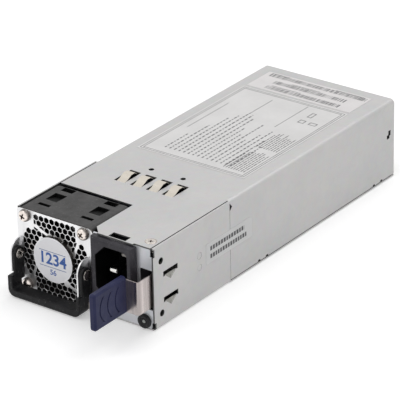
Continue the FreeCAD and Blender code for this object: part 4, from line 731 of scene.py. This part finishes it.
paintedShadeFinishes = {  # more finishes of a node, all painted shade, and which faces they are on
    "base_chassis": (("innerShadeSteel", "dentShadeSteel"), innerShadeWalls("base_chassis", True)),
    "top_cover": (("innerShadeSteel",), innerShadeWalls("top_cover")),
    "inlet_housing": (("cavityShadePlastic",), deepShadeFaces("inlet_housing")),
    "fan_housing": (("pitShadePlastic",), deepShadeFaces("fan_housing")),
    "inlet_pins": (("pinShade",), pinShadeSides()),
    "fan_grille_plate": (("latticeShadeSteel", "skirtShadeSteel"), grilleShadeFaces()),
}


def keptInside(item, node):
    # makes the bevel final and pulls its stray corners back into the solid's box
    fresh = finalMesh(item)
    item.modifiers.clear()
    low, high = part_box(node)
    for vert in fresh.vertices:
        vert.co = [min(max(vert.co[i], low[i]), high[i]) for i in range(3)]
    swapMesh(item, fresh)


edgeLook = {"merge": 1e-6, "dissolve": 0.8, "sharp": 30, "sharpCut": 4, "bevel": 32}  # m, degrees
easing = {  # edge width in mm, segments
    "base_chassis": (0.12, 2), "top_cover": (0.12, 2), "front_panel": (0.12, 2),
    "rear_panel": (0.1, 1), "fan_grille_plate": (0.05, 1), "fan_housing": (0.15, 2),
    "handle_bail": (0.45, 3), "handle_ears": (0.15, 2), "inlet_housing": (0.3, 3),
    "latch_spring": (0.1, 2), "latch_paddle": (0.1, 2), "inlet_pins": (0.25, 2),
    "earth_spring_strip": (0.05, 1), "primary_heat_sink": (0.15, 2),
    "output_heat_sinks": (0.15, 2), "filter_capacitors": (0.6, 3), "inrush_relay": (0.5, 3),
    "bulk_capacitor": (1.2, 4), "output_capacitors": (0.5, 3), "disc_capacitors": (0.8, 3),
    "transformer_core": (0.4, 2), "transformer_winding": (0.6, 2), "power_choke_core": (0.4, 2),
    "power_choke_winding": (0.6, 2), "choke_windings": (1.2, 4), "choke_core": (0.8, 3),
    "switching_transistors": (0.3, 2), "control_chips": (0.15, 2), "latch_rivets": (0.2, 2),
    "handle_pivots": (0.15, 2), "fan_rotor": (0.15, 2), "input_fuse": (0.4, 2),
    "main_board": (0.1, 1),
}


def easedCopy(node, width, segments):
    # the node's own shape with its edges broken, so that they catch the light
    shape = bmesh.new()
    shape.from_mesh(nodes[node].data)
    bmesh.ops.remove_doubles(shape, verts=shape.verts, dist=edgeLook["merge"])
    item = addPiece(node + "_eased", shape, node, finishOf[node], (node,))
    for cutter in cutters[node]() if node in cutters else ():
        carved(item, cutter)
    shape = bmesh.new()
    shape.from_mesh(item.data)
    bmesh.ops.dissolve_limit(shape, angle_limit=math.radians(edgeLook["dissolve"]),
                             verts=shape.verts, edges=shape.edges)
    smoothFaces(shape, edgeLook["sharpCut" if node in cutters else "sharp"])
    # painted shade: the listed faces take the darker finishes
    if node in paintedShadeFinishes:
        extra, test = paintedShadeFinishes[node]
        for finish in extra:
            item.data.materials.append(finishes[finish])
        for face in shape.faces:
            face.material_index = test(face.calc_center_median(), face.normal)
    shape.to_mesh(item.data)
    shape.free()
    ease = item.modifiers.new("ease", "BEVEL")
    ease.width = width * mm
    ease.segments = segments
    ease.limit_method = "ANGLE"
    ease.angle_limit = math.radians(edgeLook["bevel"])
    ease.use_clamp_overlap = False
    if node in cutters:
        keptInside(item, node)
    flat = item.modifiers.new("flat", "WEIGHTED_NORMAL")
    flat.mode = "FACE_AREA"
    flat.keep_sharp = True


for node, (width, segments) in easing.items():
    easedCopy(node, width, segments)
print("eased:", len(easing), "pieces")


crossTaper = (0.45, 0.7)  # a slot's length and width at its bottom, as shares of the top


def crossCutter(place, axis, turn, size):
    # two crossed slots that narrow towards the bottom
    shape = bmesh.new()
    for quarter in (0, 90):
        before = set(shape.verts)
        matrix = Matrix.Diagonal((*(part * mm for part in size), 1))
        bmesh.ops.create_cube(shape, size=1, matrix=matrix)
        fresh = [vert for vert in shape.verts if vert not in before]
        for vert in fresh:
            if vert.co.z < 0:
                vert.co.x *= crossTaper[0]
                vert.co.y *= crossTaper[1]
        spin = Matrix.Rotation(math.radians(turn + quarter), 4, "Z")
        bmesh.ops.transform(shape, matrix=aimed(place, axis) @ spin, verts=fresh)
    # the cross's faces take the screw's second finish, painted shade in the recess
    for face in shape.faces:
        face.material_index = 1
    return shape


grilleScrew = {  # mm, heights from the plate's front; degrees
    "profile": [(0, 2.35), (0.9, 2.32), (1.7, 2.12), (2.35, 1.7), (2.72, 1.15), (2.8, 0.85),
                (2.8, 0.5), (2.85, 0.5), (2.85, 0.02), (0, 0.02)],
    "shank": [(0, 0), (1.6, 0), (1.6, -7.6), (1.3, -8), (0, -8)], "shankSteps": 20,
    "radius": 2.85, "rise": 2.4, "crossRise": 2.35, "cross": (4.3, 0.95, 1.5),
    "turns": (12, 40, -20, 55), "sharp": 40,
}


def makeGrilleScrews():
    low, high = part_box("grille_screws")
    reach, outwards = grilleScrew["radius"] * mm, (0, -1, 0)
    front = low.y / mm + grilleScrew["rise"]
    spots = [(x / mm, z / mm) for z in (low.z + reach, high.z - reach)
             for x in (low.x + reach, high.x - reach)]
    heads, shanks = bmesh.new(), bmesh.new()
    for x, z in spots:
        turned(heads, grilleScrew["profile"], (x, front, z), outwards)
        turned(shanks, grilleScrew["shank"], (x, front, z), outwards, grilleScrew["shankSteps"])
    smoothFaces(heads, grilleScrew["sharp"])
    smoothFaces(shanks, grilleScrew["sharp"])
    item = addPiece("grille_screw_heads", heads, "grille_screws", "panHead", ("grille_screws",))
    item.data.materials.append(finishes["screwCrossShade"])
    for (x, z), turn in zip(spots, grilleScrew["turns"]):
        place = (x, front - grilleScrew["crossRise"], z)
        carved(item, crossCutter(place, outwards, turn, grilleScrew["cross"]), True)
    addPiece("grille_screw_shanks", shanks, "grille_screws", "screwSteel")
    print("screws: four pan heads on the grille")


makeGrilleScrews()


coverScrew = {  # mm, heights from the frame's floor; degrees
    "profile": [(0, 39.0), (2.25, 39.0), (2.32, 38.95), (2.34, 38.6), (2.5, 38.6), (2.52, 38.96),
                (2.62, 38.96), (2.64, 38.9), (1.62, 38.22), (1.55, 34.2), (0, 34.2)],
    "cross": (3.0, 0.6, 1.2), "turn": 30, "sharp": 30,
}


def makeCoverScrew():
    x, y = middleOf("cover_screw")[:2]
    top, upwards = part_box("cover_screw")[1].z / mm, (0, 0, 1)
    shape = bmesh.new()
    turned(shape, coverScrew["profile"], (x, y, 0), upwards)
    smoothFaces(shape, coverScrew["sharp"])
    item = addPiece("cover_screw_turned", shape, "cover_screw", "screwSteel", ("cover_screw",))
    item.data.materials.append(finishes["screwCrossShade"])
    cross = crossCutter((x, y, top), upwards, coverScrew["turn"], coverScrew["cross"])
    carved(item, cross, True)
    print("screws: flat head in the cover")


makeCoverScrew()


lamp = {  # rings of the bezel's domed face and the lens in it, mm in front of the panel
    "bezel": [(0.85, -5.5), (0.85, 1.05), (1.15, 1.22), (1.45, 1.18), (1.6, 1.0), (1.75, 1.0),
              (1.95, 1.3), (2.4, 1.38), (2.7, 1.3), (2.8, 1.12), (2.95, 1.12), (3.15, 1.2),
              (3.28, 0.85), (3.3, 0.0), (2.3, 0.0), (2.3, -5.5), (0.85, -5.5)],
    "lens": [(0, 1.3), (0.4, 1.24), (0.7, 1.05), (0.78, 0.8), (0.78, -7.5), (0, -7.5)],
    "rise": 1.5, "steps": 48, "sharp": 35,
}


def makeLampPieces():
    x, z = middleOf("lamp_bezel")[::2]
    place = (x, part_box("lamp_bezel")[0].y / mm + lamp["rise"], z)
    for name, node, profile, finish in (("bezel_rings", "lamp_bezel", "bezel", "bezelPlastic"),
                                        ("lamp_lens", "status_lamp", "lens", "lampResin")):
        shape = bmesh.new()
        turned(shape, lamp[profile], place, (0, -1, 0), lamp["steps"])
        smoothFaces(shape, lamp["sharp"])
        addPiece(name, shape, node, finish, (node,))
    print("lamp: ringed bezel and lens")


makeLampPieces()


ink = 0.02  # height of all print in mm


def brokenRow(shape, spots, generator, start, length, words, gap):
    # a row of dashes as long as words, as fine print looks from afar; spots gives two corners
    reach = start
    while reach < start + length:
        end = min(reach + generator.uniform(*words), start + length)
        addBlock(shape, *spots(reach, end))
        reach = end + gap


def addBorder(shape, x0, y0, x1, y1, line, floor):
    # four printed lines just inside a rectangle
    for low, high in (((x0, y0), (x1, y0 + line)), ((x0, y1 - line), (x1, y1)),
                      ((x0, y0), (x0 + line, y1)), ((x1 - line, y0), (x1, y1))):
        addBlock(shape, (*low, floor), (*high, floor + ink))


ratingPrint = {  # mm; rows run from front to rear
    "seed": 7, "insets": (0.9, 2.0), "line": 0.26,
    "rules": ((-24.5, 30.0, 62.0), (-9.5, 58.0, 76.0), (8.5, 52.0, 79.0)),  # x, start, end
    "firstRow": -20.0, "rowPitch": 2.55, "rowHeight": 0.6, "rowStart": 7.0,
    "rowLengths": (18, 30, 42, 46, 52, 50, 47, 36, 30, 44, 26, 34, 40, 30, 24),
    "words": (0.8, 2.3), "gap": 0.95,
    "fineRows": 9, "fineEdge": 4.0, "finePitch": 1.35, "fineHeight": 0.42,
    "fineBlocks": ((5.0, 22), (30.0, 18)), "fineShare": (0.7, 1.0),  # start, length
    "fineWords": (0.8, 3.0), "fineGap": 0.45,
    "marks": ((14.0, 62.0, 3.2, 3.2), (19.5, 62.5, 4.0, 2.6), (14.5, 69.0, 2.4, 5.0)),
    "markLine": 0.416,
}


def makeRatingPrint():
    look, (low, high) = ratingPrint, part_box("rating_label")
    left, front, right, back = low.x / mm, low.y / mm, high.x / mm, high.y / mm
    top = high.z / mm
    generator = random.Random(look["seed"])

    shape = bmesh.new()
    for inset in look["insets"]:
        addBorder(shape, left + inset, front + inset, right - inset, back - inset,
                  look["line"], top)
    for x, start, end in look["rules"]:
        addBlock(shape, (x, front + start, top), (x + look["line"], front + end, top + ink))
    addPiece("rating_lines", shape, "rating_label", "printInk")

    shape = bmesh.new()
    for row, length in enumerate(look["rowLengths"]):
        x = look["firstRow"] + look["rowPitch"] * row
        brokenRow(shape, lambda y0, y1: ((x, y0, top), (x + look["rowHeight"], y1, top + ink)),
                  generator, front + look["rowStart"], length, look["words"], look["gap"])
    for row in range(look["fineRows"]):
        x = right - look["fineEdge"] - look["finePitch"] * row
        for start, length in look["fineBlocks"]:
            share = generator.uniform(*look["fineShare"])
            brokenRow(shape, lambda y0, y1: ((x, y0, top), (x + look["fineHeight"], y1, top + ink)),
                      generator, front + start, length * share, look["fineWords"], look["fineGap"])
    addPiece("rating_rows", shape, "rating_label", "printInk")

    shape = bmesh.new()
    for x, y, wide, long in look["marks"]:
        addBorder(shape, x, front + y, x + wide, front + y + long, look["markLine"], top)
    addPiece("rating_marks", shape, "rating_label", "greyInk")
    print("rating label: borders, rules, broken rows and three frames")


makeRatingPrint()


barPrint = {  # mm
    "seed": 11, "barHeight": 3.3, "captionHeight": 0.5,
    "bars": (0.25, 0.25, 0.5, 0.75), "gaps": (0.3, 0.3, 0.55, 0.8),
    "rows": ((14.3, -27.0, 26.6), (8.0, -20.5, 19.5), (1.7, -20.9, 19.9)),  # y, start, end
    "captions": ((17.5, -27.0, -17.0), (17.5, 9.0, 25.0), (11.6, -12.0, 4.0), (5.4, -19.0, -3.0)),
    "words": (0.5, 1.6), "gap": 0.4,
}


def makeBarPrint():
    look, (low, high) = barPrint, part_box("barcode_label")
    front, top = low.y / mm, high.z / mm
    generator = random.Random(look["seed"])
    shape = bmesh.new()
    for y, start, end in look["rows"]:
        x, near, far = start, front + y, front + y + look["barHeight"]
        while x < end:
            wide = generator.choice(look["bars"])
            addBlock(shape, (x, near, top), (x + wide, far, top + ink))
            x += wide + generator.choice(look["gaps"])
    for y, start, end in look["captions"]:
        near, far = front + y, front + y + look["captionHeight"]
        brokenRow(shape, lambda x0, x1: ((x0, near, top), (x1, far, top + ink)),
                  generator, start, end - start, look["words"], look["gap"])
    addPiece("label_bars", shape, "barcode_label", "greyInk")
    print("second label: rows of plain bars")


makeBarPrint()


sidePrint = {  # mm
    "seed": 5, "rows": ((5.6, 3.0, 28.0), (1.9, 3.0, 29.5)), "rowHeight": 2.0,  # z, start, end
    "words": (1.1, 1.5), "gap": 0.55, "corner": 0.6, "cornerSteps": 4,
}


def makeSidePrint():
    # the label is rebuilt a little thinner, so that its print stays inside the solid's box
    look, (low, high) = sidePrint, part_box("side_label")
    inner, front, floor = (part / mm for part in low)
    outer, back, top = (part / mm for part in high)
    film = outer - ink
    shape = bmesh.new()
    addBlock(shape, (inner, front, floor), (film, back, top))
    corners = [edge for edge in shape.edges
               if abs(edge.verts[0].co.x - edge.verts[1].co.x) > ink * mm / 2]
    bmesh.ops.bevel(shape, geom=corners, offset=look["corner"] * mm, affect="EDGES",
                    segments=look["cornerSteps"], profile=0.5, material=-1)
    addPiece("side_label_film", shape, "side_label", "sideFilm", ("side_label",))
    generator = random.Random(look["seed"])
    shape = bmesh.new()
    for z, start, end in look["rows"]:
        foot, head = floor + z, floor + z + look["rowHeight"]
        brokenRow(shape, lambda y0, y1: ((film, front + y0, foot), (outer, front + y1, head)),
                  generator, start, end - start, look["words"], look["gap"])
    addPiece("side_label_rows", shape, "side_label", "printInk")
    print("side label: two rows of plain marks")


makeSidePrint()


discPrint = {  # mm; the offset makes the strokes bolder
    "rules": (3.7, -3.7), "ruleLength": 14.5, "ruleWidth": 0.3,
    "figures": (("1234", 7.56, -2.1, 0.18), ("56", 3.51, -7.0, 0.06)),  # size, rise, offset
}


def addFigures(name, figures, size, offset, place):
    words = bpy.data.curves.new("figures", "FONT")
    words.body = figures
    words.size = size * mm
    words.offset = offset * mm
    words.align_x = "CENTER"
    words.extrude = ink * mm / 2
    text = newObject("figures", words)
    flat = finalMesh(text)
    shape = bmesh.new()
    shape.from_mesh(flat)
    stand = Matrix.Translation(Vector(place) * mm) @ Matrix.Rotation(math.pi / 2, 4, "X")
    bmesh.ops.transform(shape, matrix=stand, verts=shape.verts)
    bpy.data.objects.remove(text)
    bpy.data.curves.remove(words)
    bpy.data.meshes.remove(flat)
    addPiece(name, shape, "grille_disc_label", "blueInk")


def makeDiscPrint():
    x, z = middleOf("grille_disc_label")[::2]
    front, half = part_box("grille_disc_label")[0].y / mm, discPrint["ruleLength"] / 2
    shape = bmesh.new()
    for rise in discPrint["rules"]:
        addBlock(shape, (x - half, front - ink, z + rise),
                 (x + half, front, z + rise + discPrint["ruleWidth"]))
    addPiece("disc_rules", shape, "grille_disc_label", "ruleInk")
    for figures, size, rise, offset in discPrint["figures"]:
        addFigures("disc_figures_" + figures, figures, size, offset, (x, front - ink / 2, z + rise))
    print("disc: two rules and plain figures")


makeDiscPrint()
